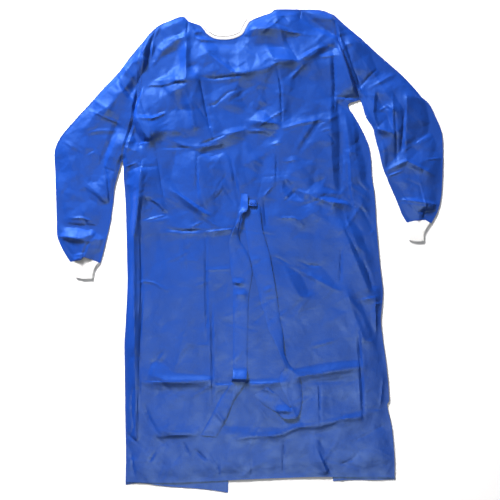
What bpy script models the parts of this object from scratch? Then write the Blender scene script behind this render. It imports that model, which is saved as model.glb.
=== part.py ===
# Long-sleeved isolation gown laid flat on its back, front side up, with its neck towards +Y.
# Left and right are the sides as seen from above. All tables are in millimetres from the middle.

import bpy
import numpy as np

MM = 0.001

# Walls, gaps and pitches
FRONT_WALL = 1.5
BACK_WALL = 1.2
SLEEVE_WALL = 1.2
CUFF_WALL = 1.3
BINDING_WALL = 1.5
BELT_WALL = 1.2
LAYER_GAP = 0.3
SEAM_GAP = 0.3
FRONT_PITCH = 28.0
SLEEVE_PITCH = 26.0
BELT_PITCH = 11.0
BELT_CLEAR_REACH = 0.6 * BELT_PITCH
ACROSS_SLEEVE = 11
ACROSS_BACK = 3
ACROSS_BELT = 4
ACROSS_BINDING = 2
CUFF_RIBS = 15
RIB_RISE = 0.5
FOLD_SHARPNESS = 1.4
SHARP_EDGE_DEGREES = 50
HEIGHT_BATCH = 400

# Height of the upper layer over the table, at the edges and where the cloth lies slack
EDGE_HEIGHT = BACK_WALL + LAYER_GAP + FRONT_WALL
SLACK_HEIGHT = 1.6
EDGE_REACH = 42.0

# Outline of the front: x, y
FRONT_TOP = (
    (-269, 533),
    (-251, 555),
    (-228, 575),
    (-202, 586),
    (-167, 597),
    (-152, 585),
    (-122, 574),
    (-116, 566),
    (-104, 551),
    (-83, 540),
    (-44, 540),
    (-18, 550),
    (-9, 564),
    (5, 586),
    (34, 599),
    (55, 606),
    (68, 615),
    (138, 615),
    (184, 613),
    (217, 601),
)
FRONT_HEM = ((-314, -589), (-200, -591), (-95, -587), (5, -582), (83, -579), (180, -576), (372, -578))
ARMHOLE_LEFT = (
    (-269, 533),
    (-275, 494),
    (-276, 452),
    (-280, 406),
    (-289, 369),
    (-294, 333),
    (-306, 294),
    (-316, 262),
    (-321, 233),
)
ARMHOLE_RIGHT = ((217, 601), (221, 572), (228, 536), (245, 494), (261, 452), (276, 411), (283, 385))

# Sides of the body below the armholes: left x, left y, right x, right y
BODY_SIDES = (
    (-321, 233, 283, 385),
    (-319, 214, 253, 372),
    (-319, 200, 269, 343),
    (-318, 178, 289, 307),
    (-315, 140, 305, 270),
    (-313, 100, 311, 235),
    (-312, 62, 314, 188),
    (-311, 22, 321, 139),
    (-310, -26, 325, 74),
    (-309, -74, 329, 22),
    (-310, -118, 336, -49),
    (-312, -150, 342, -101),
    (-313, -174, 341, -125),
    (-315, -206, 337, -179),
    (-317, -240, 342, -227),
    (-316, -300, 351, -292),
    (-315, -384, 358, -381),
    (-315, -396, 353, -392),
    (-314, -454, 365, -452),
    (-313, -522, 371, -521),
    (-314, -589, 372, -578),
)

# Sleeves from the armhole to the cuff seam: outer x, outer y, inner x, inner y
SLEEVE_LEFT = (
    (-269, 533, -321, 233),
    (-306, 489, -323, 227),
    (-330, 456, -326, 222),
    (-366, 418, -329, 209),
    (-400, 380, -334, 193),
    (-442, 334, -339, 173),
    (-479, 290, -343, 154),
    (-494, 255, -344, 135),
    (-493, 204, -346, 118),
    (-491, 139, -349, 97),
    (-489, 74, -352, 74),
    (-487, 35, -361, 35),
    (-472, 1, -370, -2),
    (-454, -28, -378, -31),
)
SLEEVE_RIGHT = (
    (217, 601, 283, 385),
    (250, 571, 287, 377),
    (287, 540, 293, 359),
    (323, 507, 300, 338),
    (357, 477, 316, 313),
    (391, 447, 321, 293),
    (420, 416, 326, 273),
    (440, 393, 333, 248),
    (460, 374, 337, 229),
    (474, 346, 342, 211),
    (490, 308, 351, 188),
    (494, 275, 359, 168),
    (494.5, 230, 372, 139),
    (493, 178, 383, 112),
    (490, 136, 390, 94),
    (481, 100, 396, 83),
    (465, 70, 403, 72),
)
CUFF_SEAM_LEFT = ((-454, -28), (-426, -23), (-420, -15), (-378, -31))
CUFF_SEAM_RIGHT = ((465, 70), (450, 79), (424, 77), (403, 72))
CUFF_LEFT = ((-454, -28, -378, -31), (-449, -41, -388, -41), (-446, -54, -393, -53), (-441, -67, -396, -70))
CUFF_RIGHT = ((465, 70, 403, 72), (456, 58, 406, 58), (449, 46, 405, 46), (448, 26, 408, 28))
CUFF_END_LEFT = ((-441, -67), (-420, -71), (-396, -70))
CUFF_END_RIGHT = ((448, 26), (428, 24), (408, 28))

# Backs: top edge, then the free edge from neck to hem, then the hem, as x, y
BACK_TOP_LEFT = ((-269, 533), (-251, 554), (-228, 574), (-202, 585), (-168, 595), (-158, 587))
BACK_FREE_LEFT = ((-158, 587), (-136, 400), (-118, 233), (-96, -100), (-64, -400), (-52, -560), (-53, -616.2))
BACK_HEM_LEFT = ((-314, -596), (-278, -592), (-213, -600), (-110, -608), (-53, -616.2))
BACK_TOP_RIGHT = ((72, 612), (138, 613), (184, 612), (217, 601))
BACK_FREE_RIGHT = ((72, 612), (100, 500), (118, 385), (160, 0), (196, -400), (212, -560), (215, -587))
BACK_HEM_RIGHT = ((215, -587), (261, -584), (319, -584), (373, -583))

# Neck binding, on the front's edge from the first to the last of these points: share of its length, width
NECK_FIRST = (-116, 566)
NECK_LAST = (5, 586)
NECK_BINDING = ((0.0, 4.0), (0.12, 9.0), (0.5, 10.0), (0.8, 10.5), (1.0, 11.0))

# Belt tails: left x, left y, right x, right y, height over the front
BELT_LEFT = (
    (-20, 146, -2, 144, 0.0),
    (-20, 122, -2, 122, 1.0),
    (-24, 102, -7, 102, 3.0),
    (-32, 79, -17, 78, 5.0),
    (-44, 48, -27, 40, 5.0),
    (-51, 16, -11, 12, 2.0),
    (-47, -18, 3, -18, 0.5),
    (-44, -54, 8, -54, 0.5),
    (-40, -87, 2, -87, 3.0),
    (-40, -125, -1, -125, 0.5),
    (-40, -210, -2, -210, 0.5),
    (-40, -290, -3, -290, 2.0),
    (-41, -320, -6, -323, 5.5),
    (-52, -349, -15, -355, 1.0),
    (-72, -374, -31, -379, 0.5),
    (-91, -411, -48, -416, 2.0),
    (-110, -446, -67, -450, 0.5),
    (-122, -469, -82, -473, 0.0),
)
BELT_RIGHT = (
    (-1, 118, 28, 118, 0.0),
    (-12, 96, 30, 96, 1.0),
    (-11, 54, 35, 53, 1.5),
    (1, -3, 51, -3, 0.5),
    (13, -55, 61, -54, 0.5),
    (25, -103, 69, -102, 0.5),
    (31, -133, 74, -133, 0.5),
    (41, -163, 78, -163, 1.0),
    (51, -201, 86, -204, 2.0),
    (67, -233, 89, -235, 4.0),
    (79, -261, 92, -263, 6.0),
    (91, -296, 105, -291, 6.0),
    (80, -316, 127, -317, 3.0),
    (82, -343, 133, -342, 2.0),
    (95, -369, 136, -372, 2.0),
    (104, -390, 132, -405, 2.0),
    (109, -396, 120, -425, 2.0),
    (105, -399, 90, -426, 2.0),
    (87, -382, 72, -411, 1.0),
    (72, -366, 46, -396, 0.5),
    (48, -346, 12, -368, 0.0),
)
# Belt tack: left x, left y, right x, right y, height over the front
TACK_LIFT = BELT_WALL + 2.0
BELT_TACK = ((-4, 131, 20, 130, TACK_LIFT), (-4, 123, 20, 122, TACK_LIFT), (-4, 115, 20, 114, TACK_LIFT))

# Largest folds, each a line of x, y, rise, reach to its left and reach to its right as it runs
FOLDS = {
    "yoke": (
        (-16, 448, 3, 30, 12),
        (57, 471, 8, 46, 18),
        (90, 486, 12, 52, 24),
        (133, 484, 12, 60, 26),
        (182, 523, 11, 46, 26),
        (214, 543, 3, 30, 20),
    ),
    "yoke left": ((-132, 440, 2, 30, 14), (-70, 444, 6, 44, 20), (-9, 450, 5, 40, 20)),
    "shoulder left": ((-164, 566, 1, 20, 30), (-161, 510, 7, 24, 50), (-158, 446, 2, 22, 40)),
    "shoulder cross": ((-236, 524, 2, 30, 24), (-168, 549, 6, 30, 26)),
    "shoulder low": ((-232, 418, 2, 34, 22), (-178, 432, 6, 40, 26), (-140, 436, 2, 30, 20)),
    "shoulder right": ((196, 588, 1, 24, 30), (190, 552, 6, 26, 36), (160, 512, 2, 26, 30)),
    "chest left": ((-122, 437, 2, 26, 40), (-108, 370, 7, 30, 50), (-84, 275, 2, 26, 40)),
    "chest ridge": ((-96, 276, 2, 40, 20), (-50, 294, 9, 56, 28), (-4, 314, 3, 40, 20)),
    "chest roof": ((2, 334, 2, 34, 34), (38, 330, 8, 44, 44), (74, 322, 2, 34, 34)),
    "chest middle": ((74, 466, 2, 34, 30), (77, 400, 6, 40, 34), (72, 330, 2, 30, 30)),
    "chest right": ((190, 340, 2, 40, 26), (140, 327, 7, 46, 34), (88, 315, 2, 36, 26)),
    "chest right low": ((180, 334, 2, 30, 30), (155, 296, 6, 34, 40), (128, 254, 2, 26, 30)),
    "armhole left": ((-290, 352, 2, 26, 26), (-262, 296, 7, 34, 30), (-240, 262, 2, 26, 26)),
    "side left": (
        (-292, 214, 3, 26, 20),
        (-284, 120, 6, 34, 26),
        (-281, 20, 7, 34, 28),
        (-279, -160, 5, 32, 28),
        (-278, -330, 5, 32, 28),
        (-279, -470, 2, 28, 24),
    ),
    "waist left": ((-193, 150, 2, 34, 24), (-140, 122, 7, 40, 28), (-88, 78, 3, 30, 24)),
    "waist cross": ((-226, 44, 2, 40, 20), (-150, 55, 8, 50, 26), (-60, 60, 3, 38, 22)),
    "belt rise": ((-46, 232, 2, 26, 26), (-34, 190, 5, 30, 30), (-24, 152, 2, 24, 24)),
    "waist right": ((66, 256, 2, 30, 34), (66, 190, 5, 34, 38), (44, 140, 2, 26, 30)),
    "waist right low": ((80, 84, 2, 36, 24), (132, 78, 6, 40, 30), (170, 100, 3, 30, 28)),
    "side right": (
        (216, 110, 3, 34, 26),
        (260, 35, 7, 44, 32),
        (290, -26, 7, 40, 32),
        (312, -92, 2, 26, 20),
    ),
    "side right low": (
        (250, -100, 2, 34, 26),
        (278, -146, 6, 42, 32),
        (306, -206, 6, 38, 26),
        (326, -262, 2, 26, 18),
    ),
    "flank right": ((256, 336, 2, 30, 26), (262, 262, 6, 36, 30), (268, 190, 2, 28, 24)),
    "skirt right": ((284, -196, 2, 40, 24), (288, -300, 6, 44, 28), (286, -430, 2, 36, 22)),
    "knee left": ((-274, -332, 3, 50, 20), (-180, -330, 9, 64, 28), (-94, -334, 5, 46, 22), (-50, -334, 2, 34, 18)),
    "knee middle": ((44, -334, 2, 34, 18), (90, -332, 5, 42, 22)),
    "knee right": ((126, -322, 3, 46, 22), (206, -312, 8, 60, 28), (284, -297, 3, 44, 20)),
    "shin left": ((-236, -472, 2, 44, 20), (-185, -468, 6, 50, 26), (-134, -466, 2, 40, 20)),
    "shin right": (
        (-20, -474, 2, 36, 20),
        (52, -472, 5, 44, 24),
        (122, -446, 7, 50, 26),
        (235, -426, 6, 50, 26),
        (292, -419, 2, 34, 20),
    ),
    "skirt left": ((-94, -120, 2, 34, 40), (-96, -250, 5, 40, 46), (-94, -392, 2, 34, 34)),
    "skirt hem": ((172, -486, 2, 26, 36), (192, -528, 5, 30, 40), (214, -572, 2, 22, 30)),
    "skirt middle": ((182, -332, 2, 30, 34), (183, -390, 5, 34, 38), (180, -442, 2, 30, 30)),
    "sleeve left top": ((-300, 430, 2, 34, 44), (-352, 366, 8, 40, 60), (-404, 300, 3, 44, 60)),
    "sleeve left inner": ((-330, 302, 2, 26, 26), (-352, 244, 7, 34, 28), (-372, 204, 2, 26, 22)),
    "sleeve left mid": ((-462, 250, 3, 40, 34), (-440, 190, 7, 46, 40), (-426, 140, 3, 36, 30)),
    "sleeve left bend": ((-482, 46, 1, 26, 24), (-430, 34, 8, 30, 30), (-376, 44, 2, 24, 24)),
    "sleeve right top": ((262, 520, 3, 36, 44), (320, 448, 9, 48, 56), (364, 380, 5, 46, 50), (392, 300, 2, 40, 44)),
    "sleeve right roof": ((346, 204, 2, 20, 24), (400, 232, 10, 44, 42), (470, 196, 2, 26, 30)),
    "sleeve right bend": ((378, 134, 2, 22, 20), (428, 124, 8, 30, 24), (478, 118, 2, 22, 18)),
}

COLOURS = {
    "front_panel": (0.030, 0.120, 0.560),
    "back_panel": (0.026, 0.105, 0.500),
    "sleeve": (0.024, 0.110, 0.520),
    "belt": (0.034, 0.130, 0.580),
    "white": (0.86, 0.86, 0.85),
}


def clear_scene():
    for item in list(bpy.data.objects):
        bpy.data.objects.remove(item)


def cloth_material(name, colour, roughness):
    material = bpy.data.materials.new(name)
    material.use_nodes = True
    shader = material.node_tree.nodes["Principled BSDF"]
    shader.inputs["Base Color"].default_value = (*colour, 1.0)
    shader.inputs["Roughness"].default_value = roughness
    shader.inputs["Metallic"].default_value = 0.0
    return material


def smooth_rows(rows, pitch):
    """Rows on a smooth line through the given ones, with no step in x and y longer than pitch."""
    rows = np.array(rows, float)
    steps = np.diff(rows[:, :4], axis=0)
    pairs = steps.reshape(len(steps), -1, 2)
    lengths = np.linalg.norm(pairs, axis=2).max(axis=1)
    slopes = np.empty_like(rows)
    slopes[1:-1] = (rows[2:] - rows[:-2]) / (lengths[1:] + lengths[:-1])[:, None]
    slopes[0] = (rows[1] - rows[0]) / lengths[0]
    slopes[-1] = (rows[-1] - rows[-2]) / lengths[-1]
    made = [rows[0]]
    for i, length in enumerate(lengths):
        count = int(np.ceil(length / pitch))
        for t in np.arange(1, count + 1) / count:
            start = (2 * t**3 - 3 * t**2 + 1) * rows[i] + (t**3 - 2 * t**2 + t) * length * slopes[i]
            end = (3 * t**2 - 2 * t**3) * rows[i + 1] + (t**3 - t**2) * length * slopes[i + 1]
            made.append(start + end)
    return np.array(made)


def shares(line):
    """How far along the line each point lies, from 0 to 1."""
    run = np.concatenate([[0.0], np.cumsum(np.linalg.norm(np.diff(line, axis=0), axis=1))])
    return run / run[-1]


def points_at(line, where):
    """Points at the given shares of the line's length."""
    run = shares(line)
    return np.column_stack([np.interp(where, run, line[:, 0]), np.interp(where, run, line[:, 1])])


def patch(first, last, side_a, side_b, across):
    """Grid of points between four edges: rows run from side_a to side_b, at the shares in across."""
    down = (shares(side_a) + shares(side_b)) / 2
    u = across[None, :, None]
    v = down[:, None, None]
    along = (1 - v) * first[None] + v * last[None]
    over = (1 - u) * side_a[:, None] + u * side_b[:, None]
    top = (1 - u) * first[0] + u * first[-1]
    bottom = (1 - u) * last[0] + u * last[-1]
    return along + over - (1 - v) * top - v * bottom


def distance_to_line(points, line):
    """Nearest distance, signed side, segment index and share along it, of points to a line."""
    start, end = line[:-1], line[1:]
    run = end - start
    length = np.linalg.norm(run, axis=1)
    offset = points[:, None] - start[None]
    along = np.clip((offset * run).sum(axis=2) / length**2, 0, 1)
    away = offset - along[:, :, None] * run[None]
    distance = np.linalg.norm(away, axis=2)
    side = (run[None, :, 0] * offset[:, :, 1] - run[None, :, 1] * offset[:, :, 0]) / length
    nearest = distance.argmin(axis=1)
    pick = np.arange(len(points))
    return distance[pick, nearest], side[pick, nearest], nearest, along[pick, nearest]


def fold_height(points, rows):
    """Rise of one fold: highest on its line, gone at its reach on either side."""
    rows = np.array(rows, float)
    distance, side, nearest, along = distance_to_line(points, rows[:, :2])
    here = rows[nearest] * (1 - along[:, None]) + rows[nearest + 1] * along[:, None]
    lean = np.clip(side / np.maximum(distance, 1e-6), -1, 1)
    reach = here[:, 3] * (1 + lean) / 2 + here[:, 4] * (1 - lean) / 2
    near = np.clip(1 - distance / reach, 0, 1)
    return here[:, 2] * near**FOLD_SHARPNESS


def outline():
    """The free edges of body, sleeves and cuffs, each as a smooth line."""
    body = smooth_rows(BODY_SIDES, EDGE_REACH)
    lines = [smooth_rows(FRONT_TOP, EDGE_REACH), smooth_rows(FRONT_HEM, EDGE_REACH)]
    lines += [body[:, :2], body[:, 2:4]]
    for table in (SLEEVE_LEFT, SLEEVE_RIGHT, CUFF_LEFT, CUFF_RIGHT):
        rows = smooth_rows(table, EDGE_REACH)
        lines += [rows[:, :2], rows[:, 2:4]]
    return lines


def upper_height(points, edges):
    """Height over the table of the upper side of the cloth, front and sleeves alike."""
    rise = np.full(len(points), SLACK_HEIGHT)
    for rows in FOLDS.values():
        rise += fold_height(points, rows)
    nearest = np.full(len(points), np.inf)
    for line in edges:
        nearest = np.minimum(nearest, distance_to_line(points, line)[0])
    edge = np.clip(nearest / EDGE_REACH, 0, 1)
    return EDGE_HEIGHT + rise * edge**2 * (3 - 2 * edge)


def add_mesh(name, vertices, faces, material):
    mesh = bpy.data.meshes.new(name)
    mesh.from_pydata((vertices * MM).tolist(), [], faces)
    mesh.update()
    mesh.shade_smooth()
    mesh.set_sharp_from_angle(angle=np.radians(SHARP_EDGE_DEGREES))
    mesh.materials.append(material)
    item = bpy.data.objects.new(name, mesh)
    bpy.context.scene.collection.objects.link(item)
    return item


def grid_triangles(index, flip):
    """Two triangles for each cell of a grid of vertex numbers."""
    a, b = index[:-1, :-1].ravel(), index[:-1, 1:].ravel()
    c, d = index[1:, 1:].ravel(), index[1:, :-1].ravel()
    triangles = np.concatenate([np.column_stack([a, b, c]), np.column_stack([a, c, d])])
    return triangles[:, ::-1].tolist() if flip else triangles.tolist()


def band(first, second):
    """Triangles between two rows of vertex numbers."""
    return grid_triangles(np.array([first, second]), False)


def slab(name, grid, lower, upper, material):
    """A sheet of cloth with a wall: the grid at its lower and upper heights, closed round its edge."""
    rows, columns = grid.shape[:2]
    flat = grid.reshape(-1, 2)
    vertices = np.vstack([np.column_stack([flat, upper]), np.column_stack([flat, lower])])
    top = np.arange(rows * columns).reshape(rows, columns)
    bottom = top + rows * columns
    ring = np.concatenate([top[0], top[1:, -1], top[-1, -2::-1], top[-2::-1, 0]])
    under = ring + rows * columns
    turned = np.cross(grid[0, -1] - grid[0, 0], grid[-1, 0] - grid[0, 0]) > 0
    faces = grid_triangles(top, not turned) + grid_triangles(bottom, turned)
    rim = np.array(band(ring, under))
    faces += (rim[:, ::-1] if turned else rim).tolist()
    return add_mesh(name, vertices, faces, material)


def tube(name, grid, upper, wall, material):
    """A flattened tube of cloth, open at its first and last row, resting on the table."""
    rows, columns = grid.shape[:2]
    inset = np.zeros((rows, columns, 2))
    for edge, next_in in ((0, 1), (-1, -2)):
        inward = grid[:, next_in] - grid[:, edge]
        inset[:, edge] = wall * inward / np.linalg.norm(inward, axis=1)[:, None]
    upper = upper.reshape(rows, columns)

    def ring(points, low, high):
        under = np.dstack([points, np.full((rows, columns), low)])
        over = np.dstack([points, high])[:, ::-1]
        return np.concatenate([under, over], axis=1)

    outer = ring(grid, 0.0, upper)
    inner = ring(grid + inset, wall, upper - wall)
    count = rows * columns * 2
    vertices = np.vstack([outer.reshape(-1, 3), inner.reshape(-1, 3)])
    index = np.arange(count).reshape(rows, columns * 2)
    index = np.column_stack([index, index[:, 0]])
    turned = np.cross(grid[0, -1] - grid[0, 0], grid[-1, 0] - grid[0, 0]) > 0
    faces = grid_triangles(index, turned) + grid_triangles(index + count, not turned)
    ends = np.array(band(index[0], index[0] + count))
    faces += (ends if turned else ends[:, ::-1]).tolist()
    ends = np.array(band(index[-1], index[-1] + count))
    faces += (ends[:, ::-1] if turned else ends).tolist()
    return add_mesh(name, vertices, faces, material)


def height_on(grid, upper, points):
    """Height of the faceted sheet at each point, from its triangles."""
    index = np.arange(grid.shape[0] * grid.shape[1]).reshape(grid.shape[:2])
    triangles = np.array(grid_triangles(index, False))
    corners = grid.reshape(-1, 2)[triangles]
    heights = upper[triangles]
    origin = corners[:, 0]
    one, two = corners[:, 1] - origin, corners[:, 2] - origin
    area = one[:, 0] * two[:, 1] - one[:, 1] * two[:, 0]
    found = np.full(len(points), -np.inf)
    for start in range(0, len(points), HEIGHT_BATCH):
        offset = points[start : start + HEIGHT_BATCH, None] - origin[None]
        s = (offset[:, :, 0] * two[:, 1] - offset[:, :, 1] * two[:, 0]) / area
        t = (one[:, 0] * offset[:, :, 1] - one[:, 1] * offset[:, :, 0]) / area
        inside = (s > -1e-6) & (t > -1e-6) & (s + t < 1 + 1e-6)
        value = heights[:, 0] * (1 - s - t) + heights[:, 1] * s + heights[:, 2] * t
        found[start : start + HEIGHT_BATCH] = np.where(inside, value, -np.inf).max(axis=1)
    return found


def strip_grid(rows, columns):
    """Grid across a strip whose rows give its left and right edge."""
    u = np.linspace(0, 1, columns + 1)[None, :, None]
    return (1 - u) * rows[:, None, 0:2] + u * rows[:, None, 2:4]


def belt_strip(name, table, sheet, sheet_upper, material):
    """A belt piece that lies on the sheet, clear of it all over by the layer gap."""
    rows = smooth_rows(table, BELT_PITCH)
    grid = strip_grid(rows, ACROSS_BELT)
    flat = grid.reshape(-1, 2)
    below = height_on(sheet, sheet_upper, flat)
    for turn in np.linspace(0, 2 * np.pi, 8, endpoint=False):
        nearby = flat + BELT_CLEAR_REACH * np.array([np.cos(turn), np.sin(turn)])
        below = np.maximum(below, height_on(sheet, sheet_upper, nearby))
    lower = below + LAYER_GAP + np.repeat(np.maximum(rows[:, 4], 0), ACROSS_BELT + 1)
    return slab(name, grid, lower, lower + BELT_WALL, material)


def front_grid():
    top = smooth_rows(FRONT_TOP, FRONT_PITCH)
    across = shares(top)
    hem = points_at(smooth_rows(FRONT_HEM, FRONT_PITCH), across)
    steps = np.linspace(0, 1, ACROSS_SLEEVE)
    left = points_at(smooth_rows(ARMHOLE_LEFT, FRONT_PITCH), steps)
    right = points_at(smooth_rows(ARMHOLE_RIGHT, FRONT_PITCH), steps)
    chest = left[-1] + across[:, None] * (right[-1] - left[-1])
    sides = smooth_rows(BODY_SIDES, FRONT_PITCH)
    yoke = patch(top, chest, left, right, across)
    skirt = patch(chest, hem, sides[:, :2], sides[:, 2:4], across)
    return np.concatenate([yoke, skirt[1:]])


def back_grid(top, armhole, free, hem, body_side, armhole_first):
    """Grid of one back: its seam side from the armhole down, its free side from neck to hem."""
    steps = np.linspace(0, 1, ACROSS_SLEEVE)
    across = np.linspace(0, 1, ACROSS_BACK + 1)
    seam = points_at(smooth_rows(armhole, FRONT_PITCH), steps)
    free = smooth_rows(free, FRONT_PITCH)
    level = np.abs(free[:, 1] - seam[-1, 1]).argmin()
    upper_free = points_at(free[: level + 1], steps)
    body_side = np.vstack([body_side[:-1], smooth_rows(hem, FRONT_PITCH)[0 if armhole_first else -1]])
    lower_free = points_at(free[level:], shares(body_side))
    top = points_at(smooth_rows(top, FRONT_PITCH), across)
    hem = points_at(smooth_rows(hem, FRONT_PITCH), across)
    if armhole_first:
        middle = seam[-1] + across[:, None] * (upper_free[-1] - seam[-1])
        shoulder = patch(top, middle, seam, upper_free, across)
        skirt = patch(middle, hem, body_side, lower_free, across)
    else:
        middle = upper_free[-1] + across[:, None] * (seam[-1] - upper_free[-1])
        shoulder = patch(top, middle, upper_free, seam, across)
        skirt = patch(middle, hem, lower_free, body_side, across)
    return np.concatenate([shoulder, skirt[1:]])


def sleeve_grid(armhole, table, cuff_seam, shift):
    steps = np.linspace(0, 1, ACROSS_SLEEVE)
    first = points_at(smooth_rows(armhole, FRONT_PITCH), steps)
    last = points_at(np.array(cuff_seam, float), steps)
    sides = smooth_rows(table, SLEEVE_PITCH)
    grid = patch(first, last, sides[:, :2], sides[:, 2:4], steps)
    return grid + np.array([shift, 0.0])


def cuff_grid(table, cuff_seam, cuff_end):
    """Grid of one cuff, with a column on each rib and one between each two."""
    across = np.linspace(0, 1, 2 * CUFF_RIBS + 1)
    joined = points_at(np.array(cuff_seam, float), np.linspace(0, 1, ACROSS_SLEEVE))
    first = points_at(joined, across)
    last = points_at(np.array(cuff_end, float), across)
    sides = smooth_rows(table, SLEEVE_PITCH)
    return patch(first, last, sides[:, :2], sides[:, 2:4], across) - np.array([0.0, SEAM_GAP])


def binding_grid():
    """Strip beside the neck edge of the front, whose points it shares."""
    top = smooth_rows(FRONT_TOP, FRONT_PITCH)
    first = np.linalg.norm(top - NECK_FIRST, axis=1).argmin()
    last = np.linalg.norm(top - NECK_LAST, axis=1).argmin()
    run = np.diff(top, axis=0)
    normals = np.column_stack([-run[:, 1], run[:, 0]]) / np.linalg.norm(run, axis=1)[:, None]
    joined = normals[first - 1 : last] + normals[first : last + 1]
    mitre = 2 * joined / (joined**2).sum(axis=1)[:, None]
    edge = top[first : last + 1]
    table = np.array(NECK_BINDING)
    width = np.interp(shares(edge), table[:, 0], table[:, 1])
    inner = edge + mitre * SEAM_GAP
    outer = edge + mitre * (SEAM_GAP + width[:, None])
    return strip_grid(np.column_stack([outer, inner]), ACROSS_BINDING)


def build():
    clear_scene()
    blue = cloth_material("gown_cloth", COLOURS["front_panel"], 0.42)
    under_blue = cloth_material("back_cloth", COLOURS["back_panel"], 0.45)
    sleeve_blue = cloth_material("sleeve_cloth", COLOURS["sleeve"], 0.42)
    belt_blue = cloth_material("belt_cloth", COLOURS["belt"], 0.45)
    knit = cloth_material("cuff_knit", COLOURS["white"], 0.85)
    tape = cloth_material("neck_tape", COLOURS["white"], 0.75)
    edges = outline()
    body = smooth_rows(BODY_SIDES, FRONT_PITCH)

    front = front_grid()
    front_upper = upper_height(front.reshape(-1, 2), edges)
    slab("front_panel", front, front_upper - FRONT_WALL, front_upper, blue)

    left = back_grid(BACK_TOP_LEFT, ARMHOLE_LEFT, BACK_FREE_LEFT, BACK_HEM_LEFT, body[:, :2], True)
    right = back_grid(BACK_TOP_RIGHT, ARMHOLE_RIGHT, BACK_FREE_RIGHT, BACK_HEM_RIGHT, body[:, 2:4], False)
    for name, grid in (("back_panel_left", left), ("back_panel_right", right)):
        count = grid.shape[0] * grid.shape[1]
        slab(name, grid, np.zeros(count), np.full(count, BACK_WALL), under_blue)

    for side, armhole, table, seam, shift in (
        ("left", ARMHOLE_LEFT, SLEEVE_LEFT, CUFF_SEAM_LEFT, -SEAM_GAP),
        ("right", ARMHOLE_RIGHT, SLEEVE_RIGHT, CUFF_SEAM_RIGHT, SEAM_GAP),
    ):
        grid = sleeve_grid(armhole, table, seam, shift)
        upper = upper_height(grid.reshape(-1, 2), edges)
        tube("sleeve_" + side, grid, upper, SLEEVE_WALL, sleeve_blue)

    for side, table, seam, end in (
        ("left", CUFF_LEFT, CUFF_SEAM_LEFT, CUFF_END_LEFT),
        ("right", CUFF_RIGHT, CUFF_SEAM_RIGHT, CUFF_END_RIGHT),
    ):
        grid = cuff_grid(table, seam, end)
        upper = np.maximum(upper_height(grid.reshape(-1, 2), edges), 2 * CUFF_WALL + LAYER_GAP)
        upper += RIB_RISE * (np.arange(len(upper)) % grid.shape[1] % 2)
        tube("cuff_" + side, grid, upper, CUFF_WALL, knit)

    binding = binding_grid()
    low = np.full(binding.shape[0] * binding.shape[1], EDGE_HEIGHT - BINDING_WALL)
    slab("neck_binding", binding, low, low + BINDING_WALL, tape)

    belt_strip("belt_left", BELT_LEFT, front, front_upper, belt_blue)
    belt_strip("belt_right", BELT_RIGHT, front, front_upper, belt_blue)
    belt_strip("belt_tack", BELT_TACK, front, front_upper, belt_blue)


build()
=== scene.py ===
import bpy
import numpy as np
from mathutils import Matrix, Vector


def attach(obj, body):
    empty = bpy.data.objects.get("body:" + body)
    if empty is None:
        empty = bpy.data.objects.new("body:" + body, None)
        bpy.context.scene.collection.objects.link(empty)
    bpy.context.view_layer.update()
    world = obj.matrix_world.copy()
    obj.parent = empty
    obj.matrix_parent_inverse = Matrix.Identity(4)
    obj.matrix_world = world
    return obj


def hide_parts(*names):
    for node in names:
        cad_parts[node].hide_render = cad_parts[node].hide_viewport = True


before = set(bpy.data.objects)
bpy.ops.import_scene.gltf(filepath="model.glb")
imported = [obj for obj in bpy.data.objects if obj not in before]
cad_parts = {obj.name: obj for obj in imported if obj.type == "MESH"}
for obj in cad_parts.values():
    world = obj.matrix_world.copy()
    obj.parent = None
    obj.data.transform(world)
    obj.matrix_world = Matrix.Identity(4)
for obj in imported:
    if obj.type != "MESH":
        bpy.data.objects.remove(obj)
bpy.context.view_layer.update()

MM = 0.001

# Wall of cloth, how far the front's edge turns under, and how far a tube's inside is set in, in walls
CLOTH = 0.45
RIM_TURN = 2.5
TUBE_INSET = 0.6
# Gap at each seam, and the groove along an armhole: rise, reach to either side
SEAM_GAP = 0.3
SEAM_GROOVE = (-4.5, 7.0, 7.0)
SHARP_EDGE_DEGREES = 15

# Longest steps and counts of the grids
BACK_PITCH = 9.0
FRONT_PITCH = 3.1
SLEEVE_PITCH = 3.6
BELT_PITCH = 3.0
BINDING_PITCH = 2.5
ARMHOLE_STEPS = 92
BACK_COLUMNS = 30
BELT_COLUMNS = 12
BINDING_COLUMNS = 8

# Upper layer: height at a free edge, lowest and highest, and how softly it stays between them
EDGE_HEIGHT = 2.1
LOWEST_UPPER = 1.5
HIGHEST_UPPER = 21.0
SOFT_FLOOR = 0.35
SOFT_TOP = 1.2
# Distance from a free edge at which folds and creases are whole, and what is left of creases at the edge
EDGE_REACH = 42.0
CREASE_EDGE_REACH = 12.0
CREASE_AT_EDGE = 0.3
# How sharp folds and creases are, and the shares of their stated rise and reach
FOLD_SHARPNESS = 1.5
FOLD_SHARE = 0.55
CREASE_SHARPNESS = 1.2
CREASE_GAIN = 0.9
CREASE_REACH = 0.55
# A crease's share of its rise at its ends, how it grows from there, and rows for each of its points
CREASE_END = 0.25
CREASE_TAPER = 0.7
CREASE_ROWS = 4

# Lowest layer: rise, share of it by which the facets are sunk, and the most share that stands up
UNDER_RISE = 0.55
UNDER_SUNK = 0.2
UNDER_MOST = 1.2
# Its facets: spacing, rise, turn in degrees, seed; its lines: way in degrees and distance, and their reach
UNDER_FACETS = ((70, 1.0, 35, 21), (31, 0.6, 12, 8))
UNDER_LINES = ((0.0, 236), (90.0, 262))
UNDER_LINE_REACH = 9

# Photo scale, in millimetres a pixel, and the pixel of the middle
PHOTO_SCALE = 2.55
PHOTO_MIDDLE = (248.7, 250.9)
PHOTO_SIZE = 500

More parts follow.
